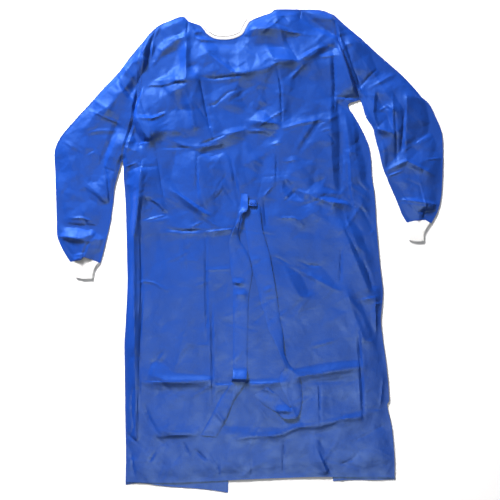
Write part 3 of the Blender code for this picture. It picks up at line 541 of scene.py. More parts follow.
# Facets of the crumpled cloth: tilt, from -1 away from the light to 1 towards it, then photo column and
# row of the corners
PLATES = {
    "armhole shadow": (
        -1.5, (160, 26), (161, 34), (153, 57), (147, 75), (141, 90), (139, 88), (141, 60), (147, 40)
    ),
    "shoulder top": (-0.8, (161, 26), (180, 21), (184, 32), (170, 40), (157, 42)),
    "shoulder band": (1.2, (156, 44), (170, 41), (182, 35), (187, 37), (176, 41), (160, 51)),
    "shoulder dark band": (-0.8, (143, 83), (146, 74), (163, 51), (179, 40), (177, 50), (162, 62), (150, 80)),
    "yoke panel": (1.0, (165, 61), (178, 50), (187, 42), (187, 76), (184, 81), (170, 81)),
    "yoke panel side": (0.6, (156, 67), (165, 61), (169, 81), (152, 85), (146, 81)),
    "armhole light": (-0.1, (142, 87), (165, 88), (160, 96), (150, 107), (141, 100)),
    "armhole low": (-0.35, (150, 107), (168, 93), (168, 108), (160, 113), (140, 114)),
    "chest square": (-0.6, (169, 93), (187, 86), (193, 111), (170, 110)),
    "chest dip": (-0.6, (170, 81), (187, 80), (187, 84), (171, 84)),
    "chest dip light": (0.5, (166, 91), (174, 86), (187, 84), (187, 87), (174, 91)),
    "yoke strip": (0.15, (187, 34), (193, 30), (197, 64), (187, 67)),
    "neck light": (1.7, (190, 22), (200, 25), (205, 31), (195, 33)),
    "neck strip": (1.6, (195, 37), (206, 35), (214, 40), (200, 41)),
    "yoke middle": (0.7, (200, 42), (238, 40), (240, 68), (225, 60), (212, 52), (198, 58)),
    "yoke wedge": (1.0, (207, 52), (214, 53), (228, 61), (236, 72), (231, 73), (218, 62)),
    "yoke streak": (0.4, (212, 49), (224, 54), (236, 60), (228, 60), (215, 54)),
    "yoke grey": (-0.5, (199, 77), (216, 70), (232, 72), (234, 77)),
    "yoke low light": (0.7, (187, 68), (198, 64), (200, 73), (187, 80)),
    "yoke diagonal": (-0.4, (185, 86), (197, 77), (201, 79), (201, 90), (190, 94)),
    "middle dip": (-0.7, (230, 73), (246, 73), (246, 78), (231, 77)),
    "chest strip": (-0.5, (200, 80), (206, 104), (211, 128), (195, 130), (191, 100)),
    "chest corner": (-0.7, (232, 78), (250, 79), (250, 89), (241, 88)),
    "chest low band": (1.5, (137, 114), (152, 116), (165, 112), (160, 119), (141, 119)),
    "chest low side": (0.5, (150, 122), (166, 113), (172, 112), (177, 130), (160, 132)),
    "flank light": (1.7, (135, 118), (140, 124), (152, 141), (140, 144), (136, 132)),
    "flank dark": (-0.25, (138, 117), (146, 121), (159, 138), (158, 142), (152, 141), (145, 130)),
    "flank glint": (1.0, (125, 138), (134, 136), (137, 141), (127, 143)),
    "flank streak": (0.8, (137, 143), (150, 141), (150, 145), (138, 147)),
    "chest grey": (-0.4, (172, 130), (190, 128), (195, 137), (184, 140)),
    "waist light": (0.4, (176, 151), (196, 151), (199, 180), (207, 211), (182, 196), (171, 178)),
    "waist dark": (-0.2, (144, 166), (157, 160), (166, 214), (152, 200), (140, 208)),
    "belt grey": (-0.35, (199, 149), (214, 143), (223, 141), (222, 151), (208, 152)),
    "belt arc": (0.7, (199, 153), (223, 152), (218, 161), (208, 162)),
    "arrow": (-0.15, (172, 191), (187, 200), (204, 213), (214, 223), (200, 221), (188, 208)),
    "arrow light": (0.9, (173, 190), (204, 209), (211, 215), (203, 213), (187, 200)),
    "waist wedge": (-0.4, (145, 197), (158, 203), (169, 216), (164, 216), (154, 208)),
    "waist wedge light": (0.65, (144, 219), (160, 216), (169, 214), (168, 219), (145, 222)),
    "waist left low": (-0.3, (145, 223), (165, 221), (168, 236), (146, 236)),
    "belt side": (-0.15, (200, 164), (222, 162), (232, 195), (236, 212), (214, 213)),
    "roof": (1.0, (250, 121), (257, 110), (265, 110), (271, 119), (278, 124), (262, 122)),
    "roof dark": (-0.15, (252, 124), (280, 126), (280, 130), (258, 129)),
    "roof patch": (0.2, (268, 138), (280, 138), (279, 146), (268, 145)),
    "chest right light": (0.35, (283, 127), (300, 123), (318, 119), (312, 126), (292, 131)),
    "chest right dark": (-0.6, (320, 121), (313, 133), (299, 153), (296, 150), (306, 134), (315, 121)),
    "chest right rim": (0.4, (321, 124), (325, 129), (303, 153), (300, 153)),
    "flank right dark": (-0.5, (330, 96), (337, 101), (339, 130), (340, 190), (334, 188), (331, 150)),
    "flank right light": (-0.1, (341, 104), (348, 112), (353, 140), (352, 178), (346, 176), (342, 140)),
    "flank right side": (-0.5, (353, 118), (362, 132), (370, 160), (370, 190), (360, 180), (355, 150)),
    "trapezoid": (0.7, (303, 193), (314, 183), (326, 178), (323, 186), (344, 194)),
    "trapezoid dark": (-0.35, (304, 196), (318, 196), (330, 203), (312, 206)),
    "waist glint": (1.5, (318, 196), (335, 198), (349, 202), (336, 203)),
    "belt right light": (0.6, (283, 181), (303, 201), (291, 201), (282, 190)),
    "belt right dark": (-1.0, (287, 179), (305, 197), (303, 200), (283, 180)),
    "belt right low": (0.25, (264, 200), (278, 202), (280, 216), (267, 216)),
    "neck right light": (1.0, (247, 22), (262, 16), (277, 12), (267, 25), (262, 28), (249, 27)),
    "neck right block": (-0.55, (246, 31), (262, 29), (285, 31), (290, 36), (284, 45), (262, 45), (250, 42)),
    "yoke right top": (0.7, (276, 13), (298, 11), (300, 20), (320, 30), (333, 37), (300, 35), (278, 28)),
    "shoulder right dark": (-1.4, (306, 12), (322, 9), (334, 17), (339, 38), (326, 30), (312, 22)),
    "yoke right band": (1.5, (298, 60), (304, 53), (320, 46), (335, 40), (326, 47), (310, 57)),
    "yoke right face": (0.35, (285, 38), (300, 37), (322, 39), (303, 52), (298, 59), (291, 50)),
    "yoke right square": (1.2, (267, 47), (284, 47), (297, 61), (275, 61)),
    "yoke low middle": (0.6, (237, 46), (262, 46), (270, 56), (262, 66), (246, 72), (235, 70)),
    "chest middle dark": (-0.6, (238, 77), (262, 73), (275, 67), (279, 91), (252, 89)),
    "chest middle side": (-0.4, (278, 62), (299, 62), (302, 66), (291, 74), (284, 79)),
    "yoke right shadow": (-0.8, (303, 63), (320, 50), (334, 43), (334, 50), (320, 57)),
    "chest right face": (-0.25, (282, 84), (302, 68), (328, 62), (330, 112), (283, 121)),
    "chest right flag": (0.8, (319, 55), (333, 50), (334, 56), (324, 58)),
    "armhole right light": (0.4, (334, 50), (338, 43), (343, 62), (352, 86), (352, 95), (337, 94)),
    "armhole right dark": (-1.5, (339, 34), (350, 52), (361, 90), (353, 88), (344, 62)),
    "chest right strip": (-0.4, (329, 60), (333, 60), (335, 95), (331, 98)),
    "left cap dark": (-1.0, (119, 74), (130, 62), (139, 62), (138, 85), (128, 98), (121, 86)),
    "left sleeve top": (0.0, (61, 136), (84, 109), (112, 81), (121, 90), (112, 101), (85, 119), (70, 133)),
    "left sleeve grey": (-0.35, (79, 133), (100, 111), (124, 120), (120, 135), (100, 136)),
    "left sleeve inner": (0.45, (118, 128), (130, 128), (126, 150), (112, 190), (100, 166)),
    "left sleeve dark": (-0.3, (91, 180), (103, 152), (112, 138), (101, 166)),
    "left elbow light": (0.45, (88, 184), (104, 165), (109, 202), (98, 195)),
    "left elbow dark": (-0.4, (84, 186), (96, 193), (109, 205), (100, 206), (88, 198)),
    "left bend light": (1.0, (65, 225), (90, 229), (97, 232), (84, 239), (61, 236)),
    "left bend grey": (0.9, (66, 241), (88, 240), (90, 245), (80, 254), (72, 253)),
    "left bend right": (1.3, (96, 233), (108, 229), (105, 240), (92, 240)),
    "left bend side": (0.6, (59, 239), (66, 246), (73, 257), (65, 252)),
    "left wrist": (1.6, (70, 256), (83, 252), (84, 257), (74, 260)),
    "right cap light": (0.5, (343, 34), (352, 31), (359, 38), (346, 42)),
    "right cap dark": (-0.5, (346, 45), (360, 42), (376, 56), (380, 75), (362, 84), (353, 70)),
    "right sleeve patch": (-0.3, (372, 87), (385, 77), (398, 74), (392, 81), (380, 87)),
    "right underarm": (0.4, (362, 90), (378, 95), (390, 122), (393, 134), (375, 128), (368, 118)),
    "right hook": (0.25, (378, 109), (391, 106), (394, 112), (382, 113)),
    "right upright dark": (-0.6, (392, 92), (404, 110), (402, 150), (396, 155), (392, 126)),
    "right sleeve dark": (-1.1, (406, 96), (424, 100), (437, 128), (422, 138), (405, 152)),
    "right sleeve light": (-0.2, (411, 153), (431, 135), (439, 132), (426, 147)),
    "right roof": (0.3, (384, 172), (404, 160), (411, 160), (432, 175), (420, 184), (392, 182)),
    "right roof dark": (-0.8, (374, 131), (394, 136), (397, 157), (384, 168)),
    "right band": (0.7, (394, 197), (410, 199), (438, 204), (430, 207), (400, 203)),
    "right pit": (-1.0, (422, 206), (438, 207), (436, 216), (422, 217)),
    "left strip light": (0.9, (126, 172), (142, 166), (139, 195), (134, 236), (130, 237), (127, 205)),
    "left strip dark": (-0.6, (134, 238), (141, 198), (142, 300), (140, 440), (136, 440), (134, 300)),
    "knee left": (0.6, (151, 363), (160, 361), (173, 372), (212, 376), (212, 380), (162, 380), (154, 374)),
    "knee box": (0.35, (214, 381), (232, 381), (231, 387), (214, 391)),
    "knee middle": (0.5, (246, 379), (277, 378), (276, 384), (246, 384)),
    "knee right": (0.5, (288, 368), (300, 368), (322, 363), (358, 360), (360, 366), (322, 371), (299, 376)),
    "shin left": (-0.6, (157, 431), (190, 432), (192, 436), (162, 436)),
    "shin middle": (0.3, (224, 426), (278, 427), (284, 434), (225, 434)),
    "shin right": (0.6, (323, 424), (345, 415), (361, 410), (362, 417), (340, 419)),
    "hem diagonal": (-0.5, (316, 441), (320, 440), (331, 470), (326, 474)),
    "right diagonal": (-0.6, (338, 215), (345, 222), (362, 255), (373, 290), (368, 290), (352, 252)),
    "right diagonal light": (0.5, (345, 216), (360, 230), (369, 254), (358, 247)),
    "right low diagonal": (-0.55, (346, 291), (357, 304), (373, 341), (364, 341), (352, 310)),
    "right strip": (0.4, (360, 297), (376, 296), (376, 335), (366, 318)),
    "skirt light": (0.45, (284, 265), (300, 272), (312, 296), (300, 297), (290, 280)),
    "skirt light two": (0.25, (307, 266), (322, 266), (341, 289), (332, 290), (314, 280)),
}
# Slope of a plate of tilt 1, and the way to the light
TILT = 0.36
LIGHT_WAY = (-0.46, 0.888)
# A plate this many widths longer than wide tilts wholly across its length, a shorter one partly
LONG_PLATE = 1.5
# Least part of a tilt that counts as turned to the light
LEAST_TURN = 0.5
# Grid of the plates: width and length, step, soft edge, and how far a plate's height spreads
PLATE_FIELD = (1280, 1500)
PLATE_STEP = 2.5
PLATE_SOFT = 1.8
PLATE_SPREAD = 60.0
# Rounds in which heights come near to the tilts, and share of the slope that stays beside the plates
PLATE_ROUNDS = 7
PLATE_REST = 0.6
# Distance from a free edge at which plates are whole, and what is left of them at the edge
PLATE_EDGE_REACH = 16.0
PLATE_AT_EDGE = 0.15
# Plates that go below this are lifted, with what lies this near, by this many times what is missing
PLATE_LOWEST = -2.0
LIFT_SPREAD = 34.0
LIFT_GAIN = 2

# Slack of the upper layer from hem to neck: y, height
SLACK = ((-616, 1.7), (-500, 2.4), (-330, 4.0), (616, 4.0))
# Strength of the small crumples from hem to neck: y, share
CRUMPLE = ((-616, 0.4), (-480, 0.4), (-330, 0.35), (-60, 0.35), (110, 0.7), (260, 1.0), (616, 1.0))
# Flat facets between creases: spacing, rise, turn in degrees, seed
FACETS = ((92, 4.0, 24, 11), (47, 2.6, 63, 5), (24, 1.2, 10, 3))
# Small seeded creases between the placed ones: count, shortest and longest, most rise, reach
SMALL_CREASES = (240, 26, 110, 1.9, 6.5)
SMALL_SEED = 29
# Their place from lower left to upper right, bend, least share of the rise, shares of the reach
SMALL_FIELD = ((-500, -620), (500, 620))
SMALL_BEND = 0.12
SMALL_LEAST = 0.4
SMALL_REACH = (0.6, 1.5)
# How far the corners of the facets lie off their places, and the width that facets cover
FACET_JITTER = 0.3
FIELD = 1400

# Arch of a stitch: share of length and of rise; its section: share of width and of rise; and how far
# ahead and back along the line its way is taken
STITCH_ARCH = ((-0.5, -0.2), (-0.3, 0.8), (0.3, 0.8), (0.5, -0.2))
STITCH_SECTION = ((-0.5, 0.0), (0.0, 0.5), (0.5, 0.0), (0.0, -0.5))
STITCH_AHEAD = 0.3
# Stitches: spacing, length, width, rise
ARMHOLE_STITCH = (4.4, 3.2, 0.55, 0.4)
FINE_STITCH = (2.6, 1.9, 0.4, 0.35)
BINDING_STITCH = (2.6, 2.4, 1.6, 0.7)
BAR_STITCH = (1.2, 7.0, 0.6, 0.5)

SOFT_BLUE = (0.0045, 0.041, 0.275)
DEEP_BLUE = (0.0027, 0.032, 0.228)
GLOSS_TINT = (0.35, 0.62, 1.0)
WHITE = (0.84, 0.845, 0.84)
TAPE_WHITE = (0.60, 0.60, 0.60)
# Grey of the binding's sewing, dark so that it also paints the shadow line at the binding's folded outer edge
THREAD_AND_EDGE_SHADOW_GREY = (0.06, 0.06, 0.07)
FLOOR_LIGHT = (0.985, 0.99, 0.99)
FLOOR_SHADE = (0.975, 0.98, 0.985)
WORLD_COLOUR = (0.96, 0.98, 1.0)
WORLD_STRENGTH = 0.32
NO_TINT = (1.0, 1.0, 1.0)
SHEEN_TINT = (0.4, 0.6, 1.0)
# Most of a noise's values lie between these two
NOISE_RANGE = (0.3, 0.7)
# Depth of what is too fine for the mesh, in metres
DEPTH = {
    "crinkle": 0.0008,
    "fibre": 0.0001,
    "bond": 0.00007,
    "loops": 0.0003,
    "fuzz": 0.00015,
    "weave": 0.0001,
    "slub": 0.00012,
    "twist": 0.00008,
    "floor": 0.00001,
}

# Lights in metres: name, place, aim, side, watts, colour, seen on matt, seen in gloss, spread in degrees
LIGHTS = (
    ("key", (-1.6, 3.0, 1.3), (-0.6, -0.1, 0.0), 0.7, 225, (1.0, 0.965, 0.955), True, False, 120),
    ("key_gloss", (-0.9, 1.7, 1.4), (0.0, -0.1, 0.0), 0.6, 82, (0.78, 0.88, 1.0), False, True, 180),
    ("glare", (0.12, -1.15, 2.6), (0.0, -0.45, 0.0), 1.2, 72, (1.0, 0.81, 0.66), False, True, 180),
)
# Camera over the gown and floor under it, in metres, and width of the camera's sensor in millimetres
CAMERA_HEIGHT = 3.2
CAMERA_SENSOR = 36
FLOOR_HALF = 6.0
FLOOR_DOWN = 0.0004


def from_photo(points):
    """Millimetres from the middle, of photo columns and rows."""
    points = np.array(points, float)
    return (points - PHOTO_MIDDLE) * np.array([PHOTO_SCALE, -PHOTO_SCALE])


def smooth_rows(rows, pitch):
    """Rows on a smooth line through the given ones, with no step in x and y longer than pitch."""
    rows = np.array(rows, float)
    steps = np.diff(rows[:, :4], axis=0)
    lengths = np.linalg.norm(steps.reshape(len(steps), -1, 2), axis=2).max(axis=1)
    slopes = np.empty_like(rows)
    slopes[1:-1] = (rows[2:] - rows[:-2]) / (lengths[1:] + lengths[:-1])[:, None]
    slopes[0] = (rows[1] - rows[0]) / lengths[0]
    slopes[-1] = (rows[-1] - rows[-2]) / lengths[-1]
    made = [rows[0]]
    for i, length in enumerate(lengths):
        count = int(np.ceil(length / pitch))
        for t in np.arange(1, count + 1) / count:
            start = (2 * t**3 - 3 * t**2 + 1) * rows[i] + (t**3 - 2 * t**2 + t) * length * slopes[i]
            end = (3 * t**2 - 2 * t**3) * rows[i + 1] + (t**3 - t**2) * length * slopes[i + 1]
            made.append(start + end)
    return np.array(made)


def shares(line):
    """How far along the line each point lies, from 0 to 1."""
    run = np.concatenate([[0.0], np.cumsum(np.linalg.norm(np.diff(line, axis=0), axis=1))])
    return run / run[-1]


def points_at(line, where):
    """Points at the given shares of the line's length."""
    run = shares(line)
    return np.column_stack([np.interp(where, run, line[:, 0]), np.interp(where, run, line[:, 1])])


def patch(first, last, side_a, side_b, across):
    """Grid of points between four edges: rows run from side_a to side_b, at the shares in across."""
    down = (shares(side_a) + shares(side_b)) / 2
    u = across[None, :, None]
    v = down[:, None, None]
    along = (1 - v) * first[None] + v * last[None]
    over = (1 - u) * side_a[:, None] + u * side_b[:, None]
    top = (1 - u) * first[0] + u * first[-1]
    bottom = (1 - u) * last[0] + u * last[-1]
    return along + over - (1 - v) * top - v * bottom


def distance_to_line(points, line):
    """Nearest distance, side from -1 to 1, segment and share along it, of points to a line."""
    start, end = line[:-1], line[1:]
    run = end - start
    length = np.linalg.norm(run, axis=1)
    offset = points[:, None] - start[None]
    along = np.clip((offset * run).sum(axis=2) / length**2, 0, 1)
    distance = np.linalg.norm(offset - along[:, :, None] * run[None], axis=2)
    side = (run[None, :, 0] * offset[:, :, 1] - run[None, :, 1] * offset[:, :, 0]) / length
    nearest = distance.argmin(axis=1)
    pick = np.arange(len(points))
    distance = distance[pick, nearest]
    lean = np.clip(side[pick, nearest] / np.maximum(distance, 1e-6), -1, 1)
    return distance, lean, nearest, along[pick, nearest]


def fold_height(points, rows, sharpness):
    """Rise of one fold: highest on its line, gone at its reach on either side."""
    rows = np.array(rows, float)
    line = rows[:, :2]
    widest = rows[:, 3:].max()
    close = ((points > line.min(axis=0) - widest) & (points < line.max(axis=0) + widest)).all(axis=1)
    height = np.zeros(len(points))
    if close.any():
        distance, lean, nearest, along = distance_to_line(points[close], line)
        here = rows[nearest] * (1 - along[:, None]) + rows[nearest + 1] * along[:, None]
        reach = here[:, 3] * (1 + lean) / 2 + here[:, 4] * (1 - lean) / 2
        height[close] = here[:, 2] * np.clip(1 - distance / reach, 0, 1) ** sharpness
    return height


def crease_rows(rise, left, right, points):
    """Rows of a crease that is deepest in its middle and runs out at its ends."""
    line = np.array(points, float)
    line = points_at(line, np.linspace(0, 1, CREASE_ROWS * len(line)))
    taper = CREASE_END + (1 - CREASE_END) * np.sin(np.pi * shares(line)) ** CREASE_TAPER
    count = np.ones(len(line))
    return np.column_stack([line, rise * taper, left * count, right * count])


def facets(points, spacing, turn, seed):
    """Flat facets about spacing wide between seeded corners, from -1 to 1 high."""
    random = np.random.default_rng(seed)
    count = int(FIELD / spacing) + 6
    corners = np.dstack(np.meshgrid(np.arange(count), np.arange(count))).astype(float)
    corners += random.uniform(-FACET_JITTER, FACET_JITTER, corners.shape)
    rise = random.uniform(-1, 1, (count, count))
    angle = np.radians(turn)
    turned = points @ np.array([[np.cos(angle), np.sin(angle)], [-np.sin(angle), np.cos(angle)]])
    where = turned / spacing + count / 2
    cell = np.floor(where).astype(int)
    height = np.zeros(len(points))
    for down in (-1, 0, 1):
        for over in (-1, 0, 1):
            row, column = cell[:, 1] + down, cell[:, 0] + over
            odd = (row + column) % 2
            for first in (0, 2):
                # Two triangles a cell, whose shared edge turns from cell to cell
                spots = [((first + k) % 4 + odd) % 4 for k in (0, 1, 2)]
                rows = [row + (spot >= 2) for spot in spots]
                columns = [column + ((spot == 1) | (spot == 2)) for spot in spots]
                rows = [np.clip(r, 0, count - 1) for r in rows]
                columns = [np.clip(c, 0, count - 1) for c in columns]
                a, b, c = (corners[r, k] for r, k in zip(rows, columns))
                one, two, offset = b - a, c - a, where - a
                area = one[:, 0] * two[:, 1] - one[:, 1] * two[:, 0]
                s = (offset[:, 0] * two[:, 1] - offset[:, 1] * two[:, 0]) / area
                t = (one[:, 0] * offset[:, 1] - one[:, 1] * offset[:, 0]) / area
                inside = (s >= 0) & (t >= 0) & (s + t <= 1)
                at_a, at_b, at_c = (rise[r, k] for r, k in zip(rows, columns))
                height = np.where(inside, at_a * (1 - s - t) + at_b * s + at_c * t, height)
    return height


def facet_sum(points, table):
    """Sum of the facets in a table of spacing, rise, turn in degrees and seed."""
    return sum(rise * facets(points, spacing, turn, seed) for spacing, rise, turn, seed in table)


def free_edges():
    """The free edges of body, sleeves and cuffs, each as a smooth line."""
    body = smooth_rows(BODY_SIDES, EDGE_REACH)
    lines = [smooth_rows(FRONT_TOP, EDGE_REACH), smooth_rows(FRONT_HEM, EDGE_REACH)]
    lines += [body[:, :2], body[:, 2:4]]
    for table in (SLEEVE_LEFT, SLEEVE_RIGHT, CUFF_LEFT, CUFF_RIGHT):
        rows = smooth_rows(table, EDGE_REACH)
        lines += [rows[:, :2], rows[:, 2:4]]
    return lines


def smooth_step(value):
    """0 up to 0, 1 from 1 on, and a smooth way between them."""
    value = np.clip(value, 0, 1)
    return value**2 * (3 - 2 * value)


def from_edge(share, nearest, reach):
    """The share at a free edge, 1 at the reach from it and further in."""
    return share + (1 - share) * smooth_step(nearest / reach)


def inside_share(points, corners):
    """1 inside the corners, 0 outside, soft at the edge."""
    closed = np.vstack([corners, corners[:1]])
    distance = distance_to_line(points, closed)[0]
    x, y = points.T
    inside = np.zeros(len(points), bool)
    for (x0, y0), (x1, y1) in zip(closed[:-1], closed[1:]):
        if y0 != y1:
            inside ^= ((y0 > y) != (y1 > y)) & (x < (x1 - x0) * (y - y0) / (y1 - y0) + x0)
    return smooth_step(0.5 + np.where(inside, distance, -distance) / (2 * PLATE_SOFT))


def plate_tilt(tone, corners):
    """Slope of a plate and its way: a long one tilts across its length, any other to the light."""
    spread, ways = np.linalg.eigh(np.cov(corners.T))
    slender = np.sqrt(spread[1] / spread[0])
    light = np.array(LIGHT_WAY)
    across = ways[:, 0] * np.sign(ways[:, 0] @ light)
    share = np.clip((slender - 1) / LONG_PLATE, 0, 1)
    way = share * across + (1 - share) * light
    way /= np.linalg.norm(way)
    return -TILT * tone / max(way @ light, LEAST_TURN), way


def plate_field():
    """Heights on a square grid whose slopes come near to the tilts of all plates."""
    width, length = PLATE_FIELD
    x = np.arange(0, width, PLATE_STEP) - width / 2
    y = np.arange(0, length, PLATE_STEP) - length / 2
    inside = np.zeros((len(y), len(x), 1))
    slope = np.zeros((len(y), len(x), 1))
    way = np.zeros((len(y), len(x), 2))
    for tone, *corners in PLATES.values():
        corners = from_photo(corners)
        low, high = corners.min(axis=0) - PLATE_SOFT, corners.max(axis=0) + PLATE_SOFT
        across, down = (x > low[0]) & (x < high[0]), (y > low[1]) & (y < high[1])
        near = np.ix_(down, across)
        points = np.dstack(np.meshgrid(x[across], y[down])).reshape(-1, 2)
        share = inside_share(points, corners).reshape(down.sum(), across.sum(), 1)
        this_slope, this_way = plate_tilt(tone, corners)
        slope[near] = slope[near] * (1 - share) + share * this_slope
        inside[near] = np.maximum(inside[near], share)
        way[near] = np.where(share > 0.5, this_way, way[near])
    turn_x = 2j * np.pi * np.fft.fftfreq(len(x), PLATE_STEP)[None, :]
    turn_y = 2j * np.pi * np.fft.fftfreq(len(y), PLATE_STEP)[:, None]
    level = turn_x**2 + turn_y**2 - PLATE_SPREAD**-2
    wanted = slope * way
    for _ in range(PLATE_ROUNDS):
        bend = turn_x * np.fft.fft2(wanted[:, :, 0]) + turn_y * np.fft.fft2(wanted[:, :, 1])
        heights = bend / level
        got = np.dstack([np.fft.ifft2(turn * heights).real for turn in (turn_x, turn_y)])
        along = (got * way).sum(axis=2, keepdims=True)
        wanted = got * (PLATE_REST + (1 - PLATE_REST) * inside) + inside * (slope - along) * way
    height = np.fft.ifft2(heights).real
    blur = np.exp((turn_x**2 + turn_y**2).real * LIFT_SPREAD**2 / 2)
    lift = np.fft.ifft2(np.fft.fft2(np.clip(PLATE_LOWEST - height, 0, None)) * blur).real
    return x, y, height + LIFT_GAIN * lift


def plate_height(points):
    """Height of the plates at the points."""
    x, y, heights = PLATES_LAID
    column = (points[:, 0] - x[0]) / PLATE_STEP
    row = (points[:, 1] - y[0]) / PLATE_STEP
    left, below = np.floor(column).astype(int), np.floor(row).astype(int)
    u, v = column - left, row - below
    low = heights[below, left] * (1 - u) + heights[below, left + 1] * u
    high = heights[below + 1, left] * (1 - u) + heights[below + 1, left + 1] * u
    return low * (1 - v) + high * v


def crumple(points):
    """Small facets and short creases between the placed ones."""
    strength = np.array(CRUMPLE)
    height = facet_sum(points, FACETS)
    random = np.random.default_rng(SMALL_SEED)
    count, shortest, longest, most, reach = SMALL_CREASES
    for _ in range(count):
        middle = random.uniform(*SMALL_FIELD)
        turn = random.uniform(0, np.pi)
        half = random.uniform(shortest, longest) / 2 * np.array([np.cos(turn), np.sin(turn)])
        bend = random.uniform(-SMALL_BEND, SMALL_BEND) * half[::-1] * (-1, 1)
        rise = random.uniform(SMALL_LEAST, 1) * most * random.choice((-1, 1))
        left, right = reach * random.uniform(*SMALL_REACH, 2)
        line = (middle - half, middle + bend, middle + half)
        height += fold_height(points, crease_rows(rise, left, right, line), CREASE_SHARPNESS)
    return height * np.interp(points[:, 1], strength[:, 0], strength[:, 1])


def relief(points):
    """Height over the table of the upper side of the cloth, front and sleeves alike."""
    slack = np.array(SLACK)
    folds = np.interp(points[:, 1], slack[:, 0], slack[:, 1])
    for rows in FOLDS.values():
        folds += FOLD_SHARE * fold_height(points, rows, FOLD_SHARPNESS)
    small = crumple(points)
    for rise, left, right, *line in CREASES.values():
        rows = crease_rows(CREASE_GAIN * rise, CREASE_REACH * left, CREASE_REACH * right, from_photo(line))
        small += fold_height(points, rows, CREASE_SHARPNESS)
    for armhole in (ARMHOLE_LEFT, ARMHOLE_RIGHT):
        rows = crease_rows(*SEAM_GROOVE, smooth_rows(armhole, EDGE_REACH))
        small += fold_height(points, rows, 1)
    nearest = np.full(len(points), np.inf)
    for line in EDGES:
        nearest = np.minimum(nearest, distance_to_line(points, line)[0])
    height = EDGE_HEIGHT + folds * smooth_step(nearest / EDGE_REACH)
    height += small * from_edge(CREASE_AT_EDGE, nearest, CREASE_EDGE_REACH)
    height += plate_height(points) * from_edge(PLATE_AT_EDGE, nearest, PLATE_EDGE_REACH)
    height = HIGHEST_UPPER - SOFT_TOP * np.logaddexp(0, (HIGHEST_UPPER - height) / SOFT_TOP)
    return LOWEST_UPPER + SOFT_FLOOR * np.logaddexp(0, (height - LOWEST_UPPER) / SOFT_FLOOR)


def under_relief(points):
    """Height over the table of the lowest layer, flat where it rests and creased in places."""
    field = facet_sum(points, UNDER_FACETS) - UNDER_SUNK
    for angle, pitch in UNDER_LINES:
        turn = np.radians(angle)
        away = points @ np.array([np.cos(turn), np.sin(turn)]) / pitch
        line = 1 - np.abs(away - np.round(away)) * pitch / UNDER_LINE_REACH
        field += UNDER_MOST * np.clip(line, 0, 1)
    return UNDER_RISE * np.clip(field, 0, UNDER_MOST)


def add_mesh(name, vertices, faces, material):
    """A piece made of vertices in millimetres and faces, that moves with the gown."""
    mesh = bpy.data.meshes.new(name)
    mesh.from_pydata((vertices * MM).tolist(), [], np.asarray(faces).tolist())
    mesh.update()
    mesh.shade_smooth()
    mesh.set_sharp_from_angle(angle=np.radians(SHARP_EDGE_DEGREES))
    mesh.materials.append(material)
    item = bpy.data.objects.new(name, mesh)
    bpy.context.scene.collection.objects.link(item)
    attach(item, "root")
    return item


def grid_faces(index, flip):
    """One face for each cell of a grid of vertex numbers."""
    faces = np.column_stack([index[:-1, :-1].ravel(), index[:-1, 1:].ravel(), index[1:, 1:].ravel()])
    faces = np.column_stack([faces, index[1:, :-1].ravel()])
    return faces[:, ::-1] if flip else faces


def border(index):
    """Numbers round the edge of a grid of vertex numbers, each once."""
    return np.concatenate([index[0], index[1:, -1], index[-1, -2::-1], index[-2:0:-1, 0]])


def is_turned(grid):
    """True if columns and rows of the grid run anticlockwise as seen from above."""
    return np.cross(grid[0, -1] - grid[0, 0], grid[-1, 0] - grid[0, 0]) > 0


def slab(name, grid, lower, upper, material):
    """A sheet of cloth: the grid at its lower and upper heights, closed round its edge."""
    rows, columns = grid.shape[:2]
    flat = grid.reshape(-1, 2)
    vertices = np.vstack([np.column_stack([flat, upper]), np.column_stack([flat, lower])])
    top = np.arange(rows * columns).reshape(rows, columns)
    bottom = top + rows * columns
    ring = np.append(border(top), top[0, 0])
    turned = is_turned(grid)
    rim = grid_faces(np.array([ring, ring + rows * columns]), turned)
    faces = np.vstack([grid_faces(top, not turned), grid_faces(bottom, turned), rim])
    return add_mesh(name, vertices, faces, material)


def shell(name, grid, upper, material):
    """One layer of cloth whose edge turns down and under, all round."""
    rows, columns = grid.shape[:2]
    top = np.arange(rows * columns).reshape(rows, columns)
    ring = border(top)
    next_in = border(top[1:-1, 1:-1])
    flat = grid.reshape(-1, 2)
    edge = flat[ring]
    nearest = next_in[np.linalg.norm(edge[:, None] - flat[next_in][None], axis=2).argmin(axis=1)]
    inward = flat[nearest] - edge
    inward *= RIM_TURN / np.linalg.norm(inward, axis=1)[:, None]
    low = upper[ring] - CLOTH
    vertices = np.column_stack([flat, upper])
    vertices = np.vstack([vertices, np.column_stack([edge, low]), np.column_stack([edge + inward, low])])
    turned = is_turned(grid)
    closed = np.append(np.arange(len(ring)), 0)
    down, under = closed + len(flat), closed + len(flat) + len(ring)
    faces = [grid_faces(top, not turned), grid_faces(np.array([ring[closed], down, under]), turned)]
    return add_mesh(name, vertices, np.vstack(faces), material)


